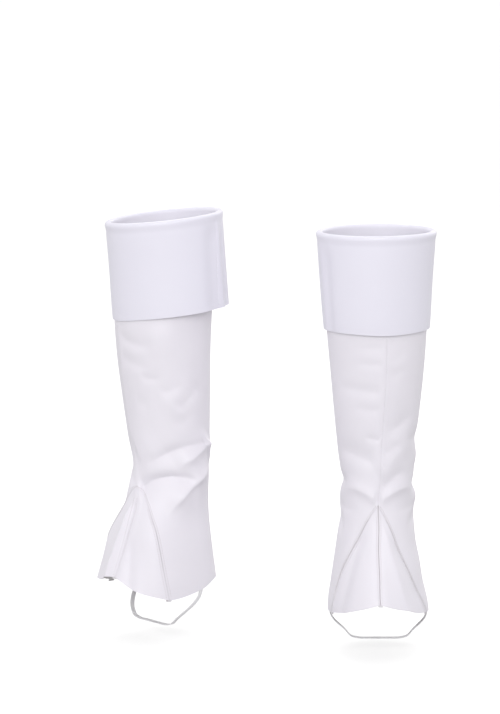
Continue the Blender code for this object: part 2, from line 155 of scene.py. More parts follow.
# %% [markdown]
# ## The edges of the pattern pieces
#
# Two lines cut the tube up. The hem runs round the ankle, lowest at the sides. The arched seam starts at a
# point high on the instep and runs down to the hem on both sides of the foot, and the godet fills what lies
# below it. Both are short tables again, so that every piece that meets at a seam reads the same line.

# %% Hem and arched seams
# Degrees from the front, then the hem's height there towards the wearer's left and towards their right.
HEM = {
    "left": ((0, 0.070, 0.070), (30, 0.061, 0.061), (60, 0.050, 0.050), (85, 0.044, 0.044),
             (110, 0.045, 0.045), (140, 0.050, 0.050), (180, 0.052, 0.052)),
    "right": ((0, 0.081, 0.081), (15, 0.075, 0.0765), (30, 0.066, 0.071), (45, 0.058, 0.0645),
              (60, 0.054, 0.060), (75, 0.056, 0.059), (90, 0.061, 0.061), (110, 0.067, 0.067),
              (140, 0.068, 0.068), (180, 0.066, 0.066)),
}
ARCH = {
    ("left", "inner"): (
        (0, 0.1785), (10.5, 0.168), (21, 0.156), (34, 0.139), (46.5, 0.119), (59, 0.093), (71, 0.048)),
    ("left", "outer"): (
        (0, 0.1785), (8, 0.167), (18, 0.151), (30, 0.131), (43, 0.107), (56, 0.082), (74, 0.046)),
    ("right", "inner"): (
        (0, 0.1830), (10, 0.179), (19, 0.170), (29, 0.155), (40, 0.134), (49, 0.105), (60, 0.054)),
    ("right", "outer"): (
        (0, 0.1830), (12, 0.176), (24, 0.165), (36, 0.148), (47, 0.126), (56, 0.098), (64, 0.0545)),
}
TIP = {side: ARCH[side, "inner"][0][1] for side in SIDES}


def way(side, half):
    """1 where a half lies towards the wearer's left of its front seam, and -1 towards their right."""
    return 1 if (side == "left") == (half == "outer") else -1


def hem_height(side, around):
    """Height of the hem at an angle from the front."""
    degrees, to_left, to_right = np.array(HEM[side]).T
    off = np.degrees(np.abs(around))
    return np.where(np.asarray(around) > 0, smooth(off, degrees, to_left), smooth(off, degrees, to_right))


def arch_line(side, half, share):
    """The arched seam from the point at the front, share 0, to the hem, share 1."""
    degrees, heights = np.array(ARCH[side, half]).T
    heights[-1] = hem_height(side, way(side, half) * math.radians(degrees[-1]))
    rows = np.linspace(0, 1, len(degrees))
    return np.radians(smooth(share, rows, degrees)), smooth(share, rows, heights)


for side in SIDES:
    heights = [height for row in HEM[side] for height in row[1:]]
    print(side, "hem from", min(heights), "to", max(heights), "tip", TIP[side])

# %% [markdown]
# ## Folds
#
# Faux leather doesn't drape softly. It buckles into a few long creases where the leg bends at the ankle,
# and the seams pull smaller ones towards them. Each fold is one row: it runs through three places, is a
# ridge or a trough of the stated rise, and dies out over its own reach above and below. A fold that reaches
# only a little way on one side has a crisp edge there. The first table is shared with the solid model, and
# the second adds the faint creases that only the finished cloth shows.

# %% Fold tables
FOLD_COLUMNS = ("start", "middle", "end", "rise", "above", "below", "crisp", "grow", "fade")
FOLDS = {
    "left": (
        ((2, 0.182), (24, 0.1945), (74, 0.1895), 0.0028, 0.008, 0.006, 0.5, 0.1, 0.6),
        ((-2, 0.182), (-24, 0.1940), (-74, 0.1885), 0.0029, 0.008, 0.006, 0.5, 0.1, 0.6),
        ((24, 0.1735), (52, 0.172), (96, 0.176), -0.0014, 0.017, 0.005, 0.4, 0.4, 0.3),
        ((-26, 0.1735), (-56, 0.171), (-100, 0.174), -0.0015, 0.018, 0.005, 0.4, 0.4, 0.3),
        ((-3, 0.227), (-30, 0.2345), (-90, 0.241), -0.0028, 0.014, 0.009, 0.2, 0.2, 0.5),
        ((-48, 0.207), (-74, 0.203), (-140, 0.196), -0.0032, 0.008, 0.008, 0.2, 0.4, 0.3),
        ((2, 0.205), (16, 0.230), (78, 0.250), 0.0020, 0.015, 0.011, 0.5, 0.15, 0.7),
        ((38, 0.255), (62, 0.253), (112, 0.252), -0.0017, 0.009, 0.008, 0.2, 0.3, 0.3),
        ((2, 0.192), (13, 0.2045), (54, 0.2165), -0.0019, 0.008, 0.008, 0.3, 0.2, 0.4),
        ((54, 0.231), (86, 0.230), (120, 0.228), 0.0018, 0.010, 0.010, 0.0, 0.4, 0.4),
        ((60, 0.194), (90, 0.197), (134, 0.188), -0.0026, 0.008, 0.008, 0.2, 0.3, 0.4),
        ((62, 0.183), (92, 0.181), (124, 0.180), 0.0018, 0.009, 0.009, 0.0, 0.4, 0.4),
        ((-62, 0.150), (-78, 0.153), (-110, 0.160), -0.0030, 0.009, 0.009, 0.2, 0.3, 0.4),
        ((50, 0.152), (66, 0.156), (100, 0.162), -0.0024, 0.009, 0.010, 0.2, 0.3, 0.4),
        ((175, 0.212), (140, 0.204), (100, 0.214), -0.0035, 0.009, 0.009, 0.2, 0.3, 0.3),
        ((-176, 0.226), (-150, 0.220), (-118, 0.228), -0.0030, 0.009, 0.009, 0.2, 0.3, 0.3),
        ((0, 0.176), (0, 0.120), (0, 0.060), -0.0008, 0.005, 0.005, 0.0, 0.3, 0.0),
        ((-14, 0.166), (-36, 0.124), (-53, 0.058), -0.0042, 0.008, 0.010, 0.3, 0.3, 0.0),
        ((3, 0.166), (17, 0.124), (32, 0.058), 0.0034, 0.010, 0.008, 0.6, 0.3, 0.0),
        ((9, 0.164), (40, 0.112), (68, 0.046), -0.0026, 0.008, 0.008, 0.3, 0.3, 0.0),
    ),
    "right": (
        ((24, 0.2065), (66, 0.2265), (128, 0.2340), -0.0042, 0.0062, 0.017, 0.7, 0.45, 0.05),
        ((74, 0.206), (106, 0.2225), (144, 0.2365), 0.0080, 0.013, 0.009, 0.9, 0.35, 0.2),
        ((6, 0.1825), (52, 0.1968), (103, 0.1900), -0.0064, 0.0050, 0.017, 0.8, 0.08, 0.2),
        ((146, 0.2075), (92, 0.1870), (50, 0.1500), 0.0104, 0.014, 0.014, 0.9, 0.45, 0.3),
        ((-8, 0.209), (-40, 0.212), (-86, 0.208), -0.0030, 0.008, 0.010, 0.2, 0.2, 0.4),
        ((-6, 0.192), (-20, 0.180), (-38, 0.160), 0.0022, 0.010, 0.010, 0.0, 0.3, 0.4),
        ((-90, 0.200), (-122, 0.208), (-160, 0.202), -0.0034, 0.008, 0.009, 0.2, 0.3, 0.4),
        ((186, 0.214), (160, 0.206), (128, 0.212), -0.0012, 0.009, 0.009, 0.2, 0.3, 0.3),
        ((3, 0.173), (0, 0.140), (0, 0.070), -0.0022, 0.004, 0.005, 0.3, 0.2, 0.0),
        ((-3, 0.176), (-9, 0.140), (-12, 0.066), 0.0050, 0.007, 0.006, 0.9, 0.3, 0.0),
        ((-14, 0.178), (-48, 0.130), (-53, 0.056), 0.0160, 0.016, 0.022, 0.8, 0.66, 0.0),
        ((5, 0.134), (16, 0.102), (23, 0.066), -0.0036, 0.009, 0.011, 0.4, 0.4, 0.0),
        ((14, 0.168), (42, 0.118), (58, 0.050), 0.0050, 0.025, 0.014, 0.0, 0.4, 0.0),
        ((6, 0.222), (30, 0.228), (60, 0.236), 0.0015, 0.030, 0.012, 0.0, 0.2, 0.5),
        ((54, 0.284), (86, 0.289), (122, 0.292), 0.0028, 0.018, 0.030, 0.0, 0.4, 0.3),
        ((40, 0.362), (62, 0.366), (92, 0.368), 0.0020, 0.015, 0.026, 0.0, 0.4, 0.4),
    ),
}
CREASES = {
    "left": (
        ((0, 0.256), (-12, 0.257), (-28, 0.260), -0.0010, 0.005, 0.004, 0.3, 0.2, 0.4),
        ((3, 0.236), (16, 0.245), (34, 0.251), -0.0008, 0.006, 0.006, 0.2, 0.2, 0.4),
        ((4, 0.261), (24, 0.272), (48, 0.287), -0.0018, 0.011, 0.007, 0.3, 0.3, 0.4),
        ((4, 0.327), (12, 0.333), (26, 0.343), -0.0009, 0.008, 0.006, 0.2, 0.4, 0.4),
        ((3, 0.346), (12, 0.351), (26, 0.362), -0.0009, 0.007, 0.006, 0.2, 0.4, 0.4),
        ((-2, 0.312), (-34, 0.315), (-74, 0.318), -0.0014, 0.007, 0.007, 0.3, 0.15, 0.5),
        ((-3, 0.292), (-22, 0.292), (-44, 0.296), -0.0009, 0.006, 0.006, 0.2, 0.2, 0.5),
        ((-2, 0.3645), (-18, 0.365), (-40, 0.366), -0.0007, 0.005, 0.005, 0.2, 0.2, 0.5),
        ((-2, 0.3455), (-20, 0.346), (-42, 0.347), -0.0008, 0.005, 0.005, 0.2, 0.2, 0.5),
        ((14, 0.372), (11, 0.330), (6, 0.280), 0.0016, 0.030, 0.016, 0.2, 0.3, 0.4),
    ),
    "right": (
        ((2, 0.372), (24, 0.360), (56, 0.356), -0.0016, 0.009, 0.007, 0.3, 0.2, 0.4),
        ((2, 0.342), (26, 0.334), (52, 0.330), -0.0014, 0.011, 0.007, 0.2, 0.2, 0.4),
        ((30, 0.321), (50, 0.3155), (66, 0.316), -0.0012, 0.006, 0.005, 0.4, 0.4, 0.4),
        ((56, 0.299), (74, 0.302), (92, 0.310), -0.0012, 0.006, 0.007, 0.3, 0.3, 0.4),
        ((78, 0.277), (96, 0.289), (116, 0.310), -0.0022, 0.010, 0.008, 0.4, 0.2, 0.3),
        ((72, 0.258), (92, 0.266), (112, 0.280), -0.0010, 0.008, 0.007, 0.2, 0.3, 0.4),
        ((22, 0.290), (34, 0.285), (46, 0.283), -0.0007, 0.008, 0.008, 0.1, 0.4, 0.4),
        ((114, 0.1925), (87, 0.1785), (54, 0.1515), -0.0013, 0.004, 0.010, 0.5, 0.2, 0.3),
    ),
}


def on_cloth(side, around, height):
    """Places laid out flat: how far round the leg and how high, both in metres."""
    cut = section(side, height)
    return np.stack([around * (cut["front"] + cut["side"]) / 2, height], axis=-1)


def nearest(places, line):
    """Distance from each place to a line of points."""
    start, step = line[:-1], np.diff(line, axis=0)
    offset = places[..., None, :] - start
    t = np.clip((offset * step).sum(-1) / (step ** 2).sum(-1), 0, 1)
    return np.linalg.norm(offset - t[..., None] * step, axis=-1).min(-1)


def ramp(value, width):
    """0 up to 1 over the stated width, and 1 all along where the width is nothing."""
    t = np.clip(value / width, 0, 1) if width else np.ones_like(value)
    return t * t * (3 - 2 * t)


def folded(side, around, height):
    """How far the folds lift the cloth off the smooth form."""
    places = on_cloth(side, around, height)
    lift = np.zeros(np.shape(height))
    for row in FOLDS[side] + CREASES[side]:
        fold = dict(zip(FOLD_COLUMNS, row))
        start, middle, end = (on_cloth(side, math.radians(fold[key][0]), fold[key][1])
                              for key in FOLD_COLUMNS[:3])
        length = math.dist(start, end)
        run = (end - start) / length
        upward = np.array([-run[1], run[0]]) * (1 if run[0] > 0 else -1)
        share = np.clip((places - start) @ run / length, 0, 1)
        at = (middle - start) @ run / length
        bow = (middle - start) @ upward / (at * (1 - at))
        gap = (places - start) @ upward - bow * share * (1 - share)
        distance = np.abs(gap) / np.hypot(1, bow * (1 - 2 * share) / length)
        reach = np.where(gap > 0, fold["above"], fold["below"])
        fades = ramp(share, fold["grow"]) * ramp(1 - share, fold["fade"])
        lift += fold["rise"] * fades * np.exp(-(distance / reach) ** (2 - 0.9 * fold["crisp"]))
    return lift


print("folds:", {side: len(FOLDS[side] + CREASES[side]) for side in SIDES})

# %% [markdown]
# ## Relief along the seams
#
# A sewn seam is never just a line. The two edges roll down into a narrow groove, and the allowances pressed
# open behind them lift a soft band on each side, which the topstitching pulls down again. This relief
# depends only on the distance to the nearest seam, so one function serves every panel.

# %% Seam relief
EDGE_ROLL = 0.0007           # radius of the rolled edge at a seam
FRONT_BAND = 0.0040          # half width of the raised band along each seam
CENTRE_BAND = 0.0036
ARCH_BAND = 0.0026
BAND_RISE = 0.00035
BAND_FADE = 0.0030           # over this distance the band's edge flattens out
FRONT_RISE = {1: 0.00042, -1: 0.00015}       # the front seam's allowances both lie towards the wearer's left
FRONT_ROLL = 0.0002
ARCH_ROLL = 0.0005
STITCH_DIP = 0.00018         # how far a row of topstitching pulls the cloth down, and how far from itself
STITCH_PULL = 0.0006
LAP = 0.0004                 # how far the leg's edge stands over the godet's along the arched seams
LAP_REACH = 0.004
TIP_BLEND = 0.004            # the front seam turns into the godet's middle seam over this height
CENTRE_STITCH = 0.0025       # from the seam to its topstitching
ARCH_STITCH = 0.0018


def rolled(distance, radius=EDGE_ROLL):
    """How far a rounded edge has dropped at a distance from where it ends."""
    inside = np.clip(radius - distance, 0, radius)
    return radius - np.sqrt(radius ** 2 - inside ** 2)


def seam_relief(distance, band, stitch=0.0, rise=BAND_RISE, roll=EDGE_ROLL):
    """The groove, the raised band and the pull of the stitches beside one seam."""
    lift = rise * ramp(band + BAND_FADE / 2 - distance, BAND_FADE) - rolled(distance, roll)
    if stitch:
        lift = lift - STITCH_DIP * np.exp(-((distance - stitch) / STITCH_PULL) ** 2)
    return lift


def seam_distances(side, half, around, height):
    """Distances on the cloth from the front or centre seam, the back seam and the arched seam."""
    width = half_width(side, height)
    line = on_cloth(side, *arch_line(side, half, np.linspace(0, 1, 60)))
    return (np.abs(around) * width, (math.pi - np.abs(around)) * width,
            nearest(on_cloth(side, np.abs(around), height), line))


TIP_GAPE, TIP_REACH = 0.30, 0.024            # the arched seam is drawn tight at its tip, and this far down
HEM_GAPE, HEM_REACH = 0.40, 0.055            # and again at the hem, and this far up


def arch_gape(side, half, height):
    """How far the arched seam gapes: least at its tip and towards the hem, and 1 in between."""
    above_hem = height - ARCH[side, half][-1][1]
    tight = TIP_GAPE + (1 - TIP_GAPE) * ramp(TIP[side] - height, TIP_REACH)
    return tight * (HEM_GAPE + (1 - HEM_GAPE) * ramp(above_hem, HEM_REACH))


def above_tip(side, height):
    """0 along the seam of the godet's middle, and 1 along the leg's front seam above it."""
    return ramp(height - TIP[side] + TIP_BLEND / 2, TIP_BLEND)


def cloth(side, half, around, height, depth=0.0, lap=LAP):
    """Points on the finished cloth of one half of a boot top, or at a depth inside it."""
    to_front, to_back, to_arch = seam_distances(side, half, around, height)
    on_leg = above_tip(side, height)
    lift = folded(side, around, height)
    lift += on_leg * seam_relief(to_front, FRONT_BAND, 0.0, FRONT_RISE[way(side, half)], FRONT_ROLL)
    lift += (1 - on_leg) * seam_relief(to_front, CENTRE_BAND, CENTRE_STITCH)
    lift += seam_relief(to_back, FRONT_BAND)
    edge = seam_relief(to_arch, ARCH_BAND, ARCH_STITCH, BAND_RISE, ARCH_ROLL)
    edge += lap * np.exp(-(to_arch / LAP_REACH) ** 2)
    lift += arch_gape(side, half, height) * edge
    return smooth_form(side, around, height) + outward(side, around, height) * (lift - depth)[..., None]


# Painted shade: the vinyl's colour is darkened in the seam grooves for the shade that falls in them, faintly
# along the leg's seams and more along the godet's.
SEAM_SHADE_COLUMNS = ("leg", "centre", "arch")     # the leg's seams, the godet's middle seam and the arched seams
SEAM_SHADE = {"left": (0.02, 0.55, 0.60), "right": (0.02, 0.10, 0.40)}
FRONT_SHADE_REACH, SEAM_SHADE_REACH = 0.0008, 0.0006


def painted_seam_shade(side, half, around, height):
    """How much painted shade darkens the finish in the seam grooves, from 0 to 1."""
    to_front, to_back, to_arch = seam_distances(side, half, around, height)
    painted_shade = dict(zip(SEAM_SHADE_COLUMNS, SEAM_SHADE[side]))
    on_leg = above_tip(side, height)
    front = painted_shade["leg"] * on_leg + painted_shade["centre"] * (1 - on_leg)
    front = front * np.exp(-(to_front / FRONT_SHADE_REACH) ** 2)
    back = painted_shade["leg"] * np.exp(-(to_back / SEAM_SHADE_REACH) ** 2)
    arch = painted_shade["arch"] * arch_gape(side, half, height) * np.exp(-(to_arch / SEAM_SHADE_REACH) ** 2)
    return np.maximum(np.maximum(front, back), arch)


# %% [markdown]
# ## Closed walls of cloth
#
# Every panel is made as a solid wall, as thick as the real material, and not as a sheet of no thickness:
# its cut edges catch the light and its inside can have the knitted backing. Solidify could do it, but two
# matching grids of points, one for each face, keep the thickness exact along the seams. The faces know what
# they are: the shown side, the backing, or a cut edge.

# %% Wall builder
VINYL_SIDE, BACKING_SIDE, CUT_EDGE = 0, 1, 2
SHARP_ANGLE = 50             # degrees: an edge that turns further than this isn't shaded as round
PIECES = bpy.data.collections.new("boot tops")
bpy.context.scene.collection.children.link(PIECES)
made = {}                    # every finished piece by its name


def finished(name, mesh):
    """Takes a finished mesh in as a piece, at the origin, and says how fine it is."""
    piece = bpy.data.objects.new(name, mesh)
    PIECES.objects.link(piece)
    made[name] = piece
    print(name, len(mesh.polygons), "faces")
    return piece


def lofted_wall(name, shown, hidden, across, materials, painted_shade=None):
    """A closed wall between two grids of points, with across as its flat pattern in metres."""
    shown, hidden = np.asarray(shown), np.asarray(hidden)
    rows, columns = shown.shape[:2]
    index = np.arange(rows * columns).reshape(rows, columns)
    deep = index + rows * columns

    def quads(a, b, c, d):
        return np.stack([np.ravel(part) for part in (a, b, c, d)], axis=-1)

    faces = [
        quads(index[:-1, :-1], index[:-1, 1:], index[1:, 1:], index[1:, :-1]),
        quads(deep[:-1, :-1], deep[1:, :-1], deep[1:, 1:], deep[:-1, 1:]),
        quads(index[:-1, 0], index[1:, 0], deep[1:, 0], deep[:-1, 0]),
        quads(index[1:, -1], index[:-1, -1], deep[:-1, -1], deep[1:, -1]),
        quads(index[0, 1:], index[0, :-1], deep[0, :-1], deep[0, 1:]),
        quads(index[-1, :-1], index[-1, 1:], deep[-1, 1:], deep[-1, :-1]),
    ]
    kinds = np.concatenate([np.full(len(part), (VINYL_SIDE, BACKING_SIDE, CUT_EDGE)[min(i, 2)])
                            for i, part in enumerate(faces)])
    corners = np.concatenate(faces)
    points = np.concatenate([shown.reshape(-1, 3), hidden.reshape(-1, 3)])
    flat = np.concatenate([across.reshape(-1, 2)] * 2)
    first = corners[0]
    facing = np.cross(points[first[1]] - points[first[0]], points[first[2]] - points[first[0]])
    if facing @ (points[first[0]] - points[first[0] + rows * columns]) < 0:
        corners = corners[:, ::-1]
    mesh = bpy.data.meshes.new(name)
    mesh.from_pydata(points.tolist(), [], corners.tolist())
    mesh.polygons.foreach_set("material_index", kinds.astype(np.int32))
    layer = mesh.uv_layers.new(name="pattern")
    layer.data.foreach_set("uv", flat[corners.ravel()].ravel().astype(np.float32))
    # Painted shade for the seam grooves, kept as a point attribute on both faces.
    if painted_shade is not None:
        shade_layer = mesh.attributes.new("painted_shade", "FLOAT", "POINT")
        shade_layer.data.foreach_set("value", np.concatenate([np.ravel(painted_shade)] * 2).astype(np.float32))
    for material in materials:
        mesh.materials.append(material)
    mesh.shade_smooth()
    mesh.set_sharp_from_angle(angle=math.radians(SHARP_ANGLE))
    mesh.update()
    return finished(name, mesh)


# %% [markdown]
# ## Shader maths as plain sums
#
# A node tree soon becomes hard to read. One small class wraps a socket, so that a sum on it, such as 1 -
# mask * 0.3, adds the Math nodes by itself, and one method makes any other node from its type, its settings
# and the values or links of its sockets.

# %% Sockets and recipes
class Wire:
    """A node's output that can be added, multiplied and so on like a number."""

    def __init__(self, recipe, socket):
        self.recipe, self.socket = recipe, socket

    def sum(self, operation, first, second):
        return self.recipe.made("ShaderNodeMath", {"operation": operation}, {0: first, 1: second})

    def __add__(self, other):
        return self.sum("ADD", self, other)

    def __sub__(self, other):
        return self.sum("SUBTRACT", self, other)

    def __rsub__(self, other):
        return self.sum("SUBTRACT", other, self)

    def __mul__(self, other):
        return self.sum("MULTIPLY", self, other)

    __radd__, __rmul__ = __add__, __mul__


class Recipe:
    """The node tree of one finish, or of the surroundings."""

    def __init__(self, name, owner=None):
        self.owner = owner or bpy.data.materials.new(name)
        self.owner.use_nodes = True
        self.tree = self.owner.node_tree
        self.tree.nodes.clear()

    def node(self, kind, settings=None, sockets=None):
        """Adds a node of a kind, with its settings first and then the values or links of its sockets."""
        node = self.tree.nodes.new(kind)
        for key, value in (settings or {}).items():
            setattr(node, key, value)
        for key, value in (sockets or {}).items():
            if isinstance(value, Wire):
                self.tree.links.new(value.socket, node.inputs[key])
            else:
                node.inputs[key].default_value = value
        return node

    def made(self, kind, settings=None, sockets=None, output=0):
        """A node's output as a wire, for a node that is only there for it."""
        return Wire(self, self.node(kind, settings, sockets).outputs[output])

    def noise(self, place, detail, roughness, scale=1.0):
        """Soft random values from 0 to 1."""
        return self.made("ShaderNodeTexNoise", None,
                         {"Vector": place, "Scale": scale, "Detail": detail, "Roughness": roughness})

    def mixed(self, factor, first, second):
        """A colour between two others, each a wire or three numbers."""
        ends = {key: colour if isinstance(colour, Wire) else (*colour, 1)
                for key, colour in (("A", first), ("B", second))}
        return self.made("ShaderNodeMix", {"data_type": "RGBA"}, {"Factor": factor, **ends}, 2)

    def relief(self, strength, distance, height, **under):
        """A finer relief than the mesh has, over another one where Normal is given."""
        return self.made("ShaderNodeBump", None,
                         {"Strength": strength, "Distance": distance, "Height": height, **under})

    def done(self, shader, output="ShaderNodeOutputMaterial"):
        """Ends the recipe with a shader, and gives the material or the surroundings it belongs to."""
        self.node(output, None, {"Surface": shader})
        return self.owner

    def surface(self, colour, roughness, sockets):
        """Ends the recipe with a surface of this colour and roughness, and its other sockets by name."""
        sockets = {"Base Color": colour, "Roughness": roughness, **sockets}
        return self.done(self.made("ShaderNodeBsdfPrincipled", None, sockets))


# %% [markdown]
# ## Finishes
#
# Faux leather is a knitted cloth with a skin of soft vinyl, embossed with a fine grain. Up close it shows
# small rounded cells, further off only a soft sheen that spreads over the curve of the leg. The grain is
# worked out on the flat pattern, which is how it was embossed, so that it follows the cloth round the leg.
# Colour, gloss and relief all vary a little, because nothing sewn is perfectly even.

# %% Faux leather and its backing
PAINTED_GROOVE_SHADE = (0.36, 0.29, 0.32)           # painted shade in the grooves of the seams
DETAILS = {"drift": 14, "ripple": 55, "pores": 420, "cells": 1300}       # of the vinyl, so many to a metre
KNIT = (("X", 260, 1.5), ("Y", 340, 2.5))    # direction, waves to a metre and how far they wander


def patterned(recipe, scale):
    """The piece's flat pattern, scaled to so many units a metre."""
    place = recipe.made("ShaderNodeUVMap", {"uv_map": "pattern"})
    return recipe.made("ShaderNodeVectorMath", {"operation": "MULTIPLY"}, {0: place, 1: (scale,) * 3})


def darker(colour, share):
    return tuple(share * part for part in colour)


def vinyl_finish(name, light, shade, roughness, grain):
    """Smooth faux leather: light and shade are the two colours that it drifts between."""
    recipe = Recipe(name)
    drift = recipe.noise(patterned(recipe, DETAILS["drift"]), 3.0, 0.55)
    cells = recipe.made("ShaderNodeTexVoronoi", {"feature": "SMOOTH_F1"},
                        {"Vector": patterned(recipe, DETAILS["cells"]), "Scale": 1.0, "Smoothness": 0.6})
    pores = recipe.noise(patterned(recipe, DETAILS["pores"]), 4.0, 0.6)
    ripple = recipe.noise(patterned(recipe, DETAILS["ripple"]), 2.0, 0.5)
    unshaded = recipe.mixed((drift - 0.35) * 2.2, light, shade)
    # Painted shade: a point attribute darkens the colour towards the groove shade along the seams.
    painted_shade = recipe.made("ShaderNodeAttribute", {"attribute_name": "painted_shade"}, None, 2)
    colour = recipe.mixed(painted_shade * 0.75, unshaded, PAINTED_GROOVE_SHADE)
    grained = recipe.relief(grain, 0.00012, cells * 0.75 + pores * 0.5)
    relief = recipe.relief(0.35, 0.0006, ripple, Normal=grained)
    return recipe.surface(colour, roughness + (pores - 0.5) * 0.12,
                          {"Normal": relief, "IOR": 1.5, "Coat Weight": 0.12, "Coat Roughness": 0.35})


def knit_finish(name, colour):
    """The knitted cloth on the back of the vinyl: fine columns of stitches."""
    recipe = Recipe(name)
    columns, courses = (
        recipe.made("ShaderNodeTexWave", {"wave_type": "BANDS", "bands_direction": along},
                    {"Vector": patterned(recipe, scale), "Scale": 1.0, "Distortion": wander, "Detail": 2.0,
                     "Detail Scale": 3.0}, 1)
        for along, scale, wander in KNIT)
    loops = columns * 0.6 + courses * 0.4
    shade = recipe.mixed(loops, darker(colour, 0.82), colour)
    relief = recipe.relief(0.6, 0.0003, loops)
    return recipe.surface(shade, 0.9 + (loops - 0.5) * 0.1, {"Normal": relief})


def fuzzy_finish(name, colour, roughness=0.85, scale=1500):
    """Thread, elastic and raw cut edges: a matt finish with a fine fibre relief."""
    recipe = Recipe(name)
    fibres = recipe.noise(recipe.made("ShaderNodeTexCoord", None, None, "Object"), 3.0, 0.6, scale)
    shade = recipe.mixed(fibres, darker(colour, 0.85), colour)
    relief = recipe.relief(0.3, 0.00006, fibres)
    return recipe.surface(shade, roughness + (fibres - 0.5) * 0.1, {"Normal": relief})


VINYL = vinyl_finish("white faux leather", (0.868, 0.837, 0.904), (0.848, 0.817, 0.886), 0.46, 0.20)
CUFF_VINYL = vinyl_finish("cool white faux leather", (0.846, 0.826, 0.922), (0.831, 0.809, 0.907), 0.44, 0.16)
BACKING = knit_finish("knitted backing", (0.80, 0.78, 0.79))
RAW_EDGE = fuzzy_finish("raw cut edge", (0.86, 0.84, 0.87))
# Painted shade: the allowances are darker than the backing they are cut from, so the seam grooves read dark.
SHADED_ALLOWANCE = knit_finish("backing inside the seams in painted shade", (0.60, 0.53, 0.56))
THREAD = fuzzy_finish("white thread", (0.88, 0.86, 0.89), 0.6, 4000)
NEEDLE = fuzzy_finish("needle hole", (0.38, 0.31, 0.34), 0.9, 4000)
ELASTIC = fuzzy_finish("braided elastic", (0.96, 0.95, 0.97), 0.8, 2500)
print("finishes:", [m.name for m in bpy.data.materials if m.use_nodes][-8:])

# %% [markdown]
# ## Leg panels
#
# Each leg tube has an inner and an outer panel. A panel's columns stand upright, from the arched seam or
# the hem up to where the cuff is sewn on, and crowd together along every seam, where the rolled edge needs
# them.

# %% Make the leg panels
RIM = {"left": 0.4960, "right": 0.5045}      # top of the rolled rim above the ground
CUFF_RETURN = 0.016                          # how far the cuff goes down inside, to the leg panels
CLOSE_ROWS = np.array([0, 0.2, 0.4, 0.7, 1.1, 1.6, 2.2, 3.0]) / 1000     # distances from a seam
LINE_POINTS = 241
ARCH_COLUMNS, BACK_COLUMNS = 92, 58          # columns in front of the arched seam's end and behind it
LOWER_ROWS, UPPER_ROWS = 118, 84             # rows below and above the height where the folds thin out
SMOOTH_FROM = 0.262
MEAN_WIDTH = 0.052                           # a leg's mean half width, which spaces the columns


def leg_top(side):
    """Height of the seam that joins the leg panels to the cuff."""
    return RIM[side] - CUFF_RETURN


def seam_columns(side, half):
    """Angles of a leg panel's columns and the height that each one starts from."""
    turned, height = arch_line(side, half, np.linspace(0, 1, LINE_POINTS))
    run = np.append(0, np.cumsum(np.hypot(np.diff(turned) * MEAN_WIDTH, np.diff(height))))
    on_arch = np.interp(np.linspace(0, run[-1], ARCH_COLUMNS), run, turned)
    beyond = np.linspace(turned[-1], math.pi, BACK_COLUMNS)[1:]
    close = CLOSE_ROWS / MEAN_WIDTH
    angles = np.concatenate([close, on_arch[on_arch > close[-1]], beyond[beyond < math.pi - close[-1]],
                             math.pi - close[::-1]])
    bottom = np.where(angles < turned[-1], np.interp(angles, turned, height),
                      hem_height(side, way(side, half) * angles))
    return angles, bottom


def panel(name, side, half, around, height, lap):
    """A wall of vinyl whose grid lies at the stated places of the cloth."""
    shown, hidden = (cloth(side, half, around, height, depth, lap) for depth in (0.0, WALL))
    # The shown side gets painted shade in its seam grooves.
    return lofted_wall(name, shown, hidden, on_cloth(side, around, height), (VINYL, BACKING, RAW_EDGE),
                       painted_seam_shade(side, half, around, height))


def leg_panel(side, half):
    """One side of the leg tube."""
    angles, bottom = seam_columns(side, half)
    room = SEAM / 2
    top = leg_top(side) - room
    first = bottom + room + CLOSE_ROWS[:, None]
    lower = first[-1] + np.linspace(0, 1, LOWER_ROWS)[1:, None] * (SMOOTH_FROM - first[-1])
    upper = SMOOTH_FROM + np.linspace(0, 1, UPPER_ROWS)[1:, None] * (top - SMOOTH_FROM) + 0 * bottom
    height = np.concatenate([first, lower, upper])
    gap = room / half_width(side, height)
    around = way(side, half) * np.clip(angles + 0 * height, gap, math.pi - gap)
    return panel(f"{side}_leg_panel_{half}", side, half, around, height, LAP)


for side in SIDES:
    for half in HALVES:
        leg_panel(side, half)

# %% [markdown]
# ## Godets
#
# The godet is cut in two halves with a seam down its middle, so that it can spring out over the shoe. Its
# rows follow the arched seam down from the point, and its columns crowd towards both seams.

# %% Make the godet halves
GODET_START = 0.012          # share of the arched seam above the godet's blunt point
GODET_ROWS, GODET_COLUMNS = 110, 58
ROWS_TO_POINT = 0.8          # under 1, the rows crowd towards the hem, and over 1 towards the point


def godet_half(side, half):
    """One half of the godet, between the seam down the front and the arched seam."""
    share = np.linspace(0, 1, GODET_ROWS)[:, None] ** ROWS_TO_POINT * (1 - GODET_START) + GODET_START
    arch_turn, arch_height = arch_line(side, half, share)
    middle = TIP[side] + share * (hem_height(side, 0) - TIP[side])
    across = (1 - np.cos(np.linspace(0, math.pi, GODET_COLUMNS))) / 2
    turned = across * arch_turn
    straight = middle + across * (arch_height - middle)
    at_hem = hem_height(side, way(side, half) * turned[-1])
    height = straight + share ** 3 * (1 - across) * (at_hem - straight[-1])
    gap = SEAM / 2 / half_width(side, height)
    turned = gap + turned * (1 - 2 * gap / np.maximum(arch_turn, 3 * gap))
    return panel(f"{side}_godet_panel_{half}", side, half, way(side, half) * turned, height, -LAP)


for side in SIDES:
    for half in HALVES:
        godet_half(side, half)

# %% [markdown]
# ## Cuffs
#
# The cuff is one wide band, sewn on inside the top and rolled over it. Its vinyl side shows all the way:
# inside the rim, over the soft roll, and down the outside to a raw edge. It was pressed flat before it was
# worn, so it keeps a few upright dents beside its own closing seam.

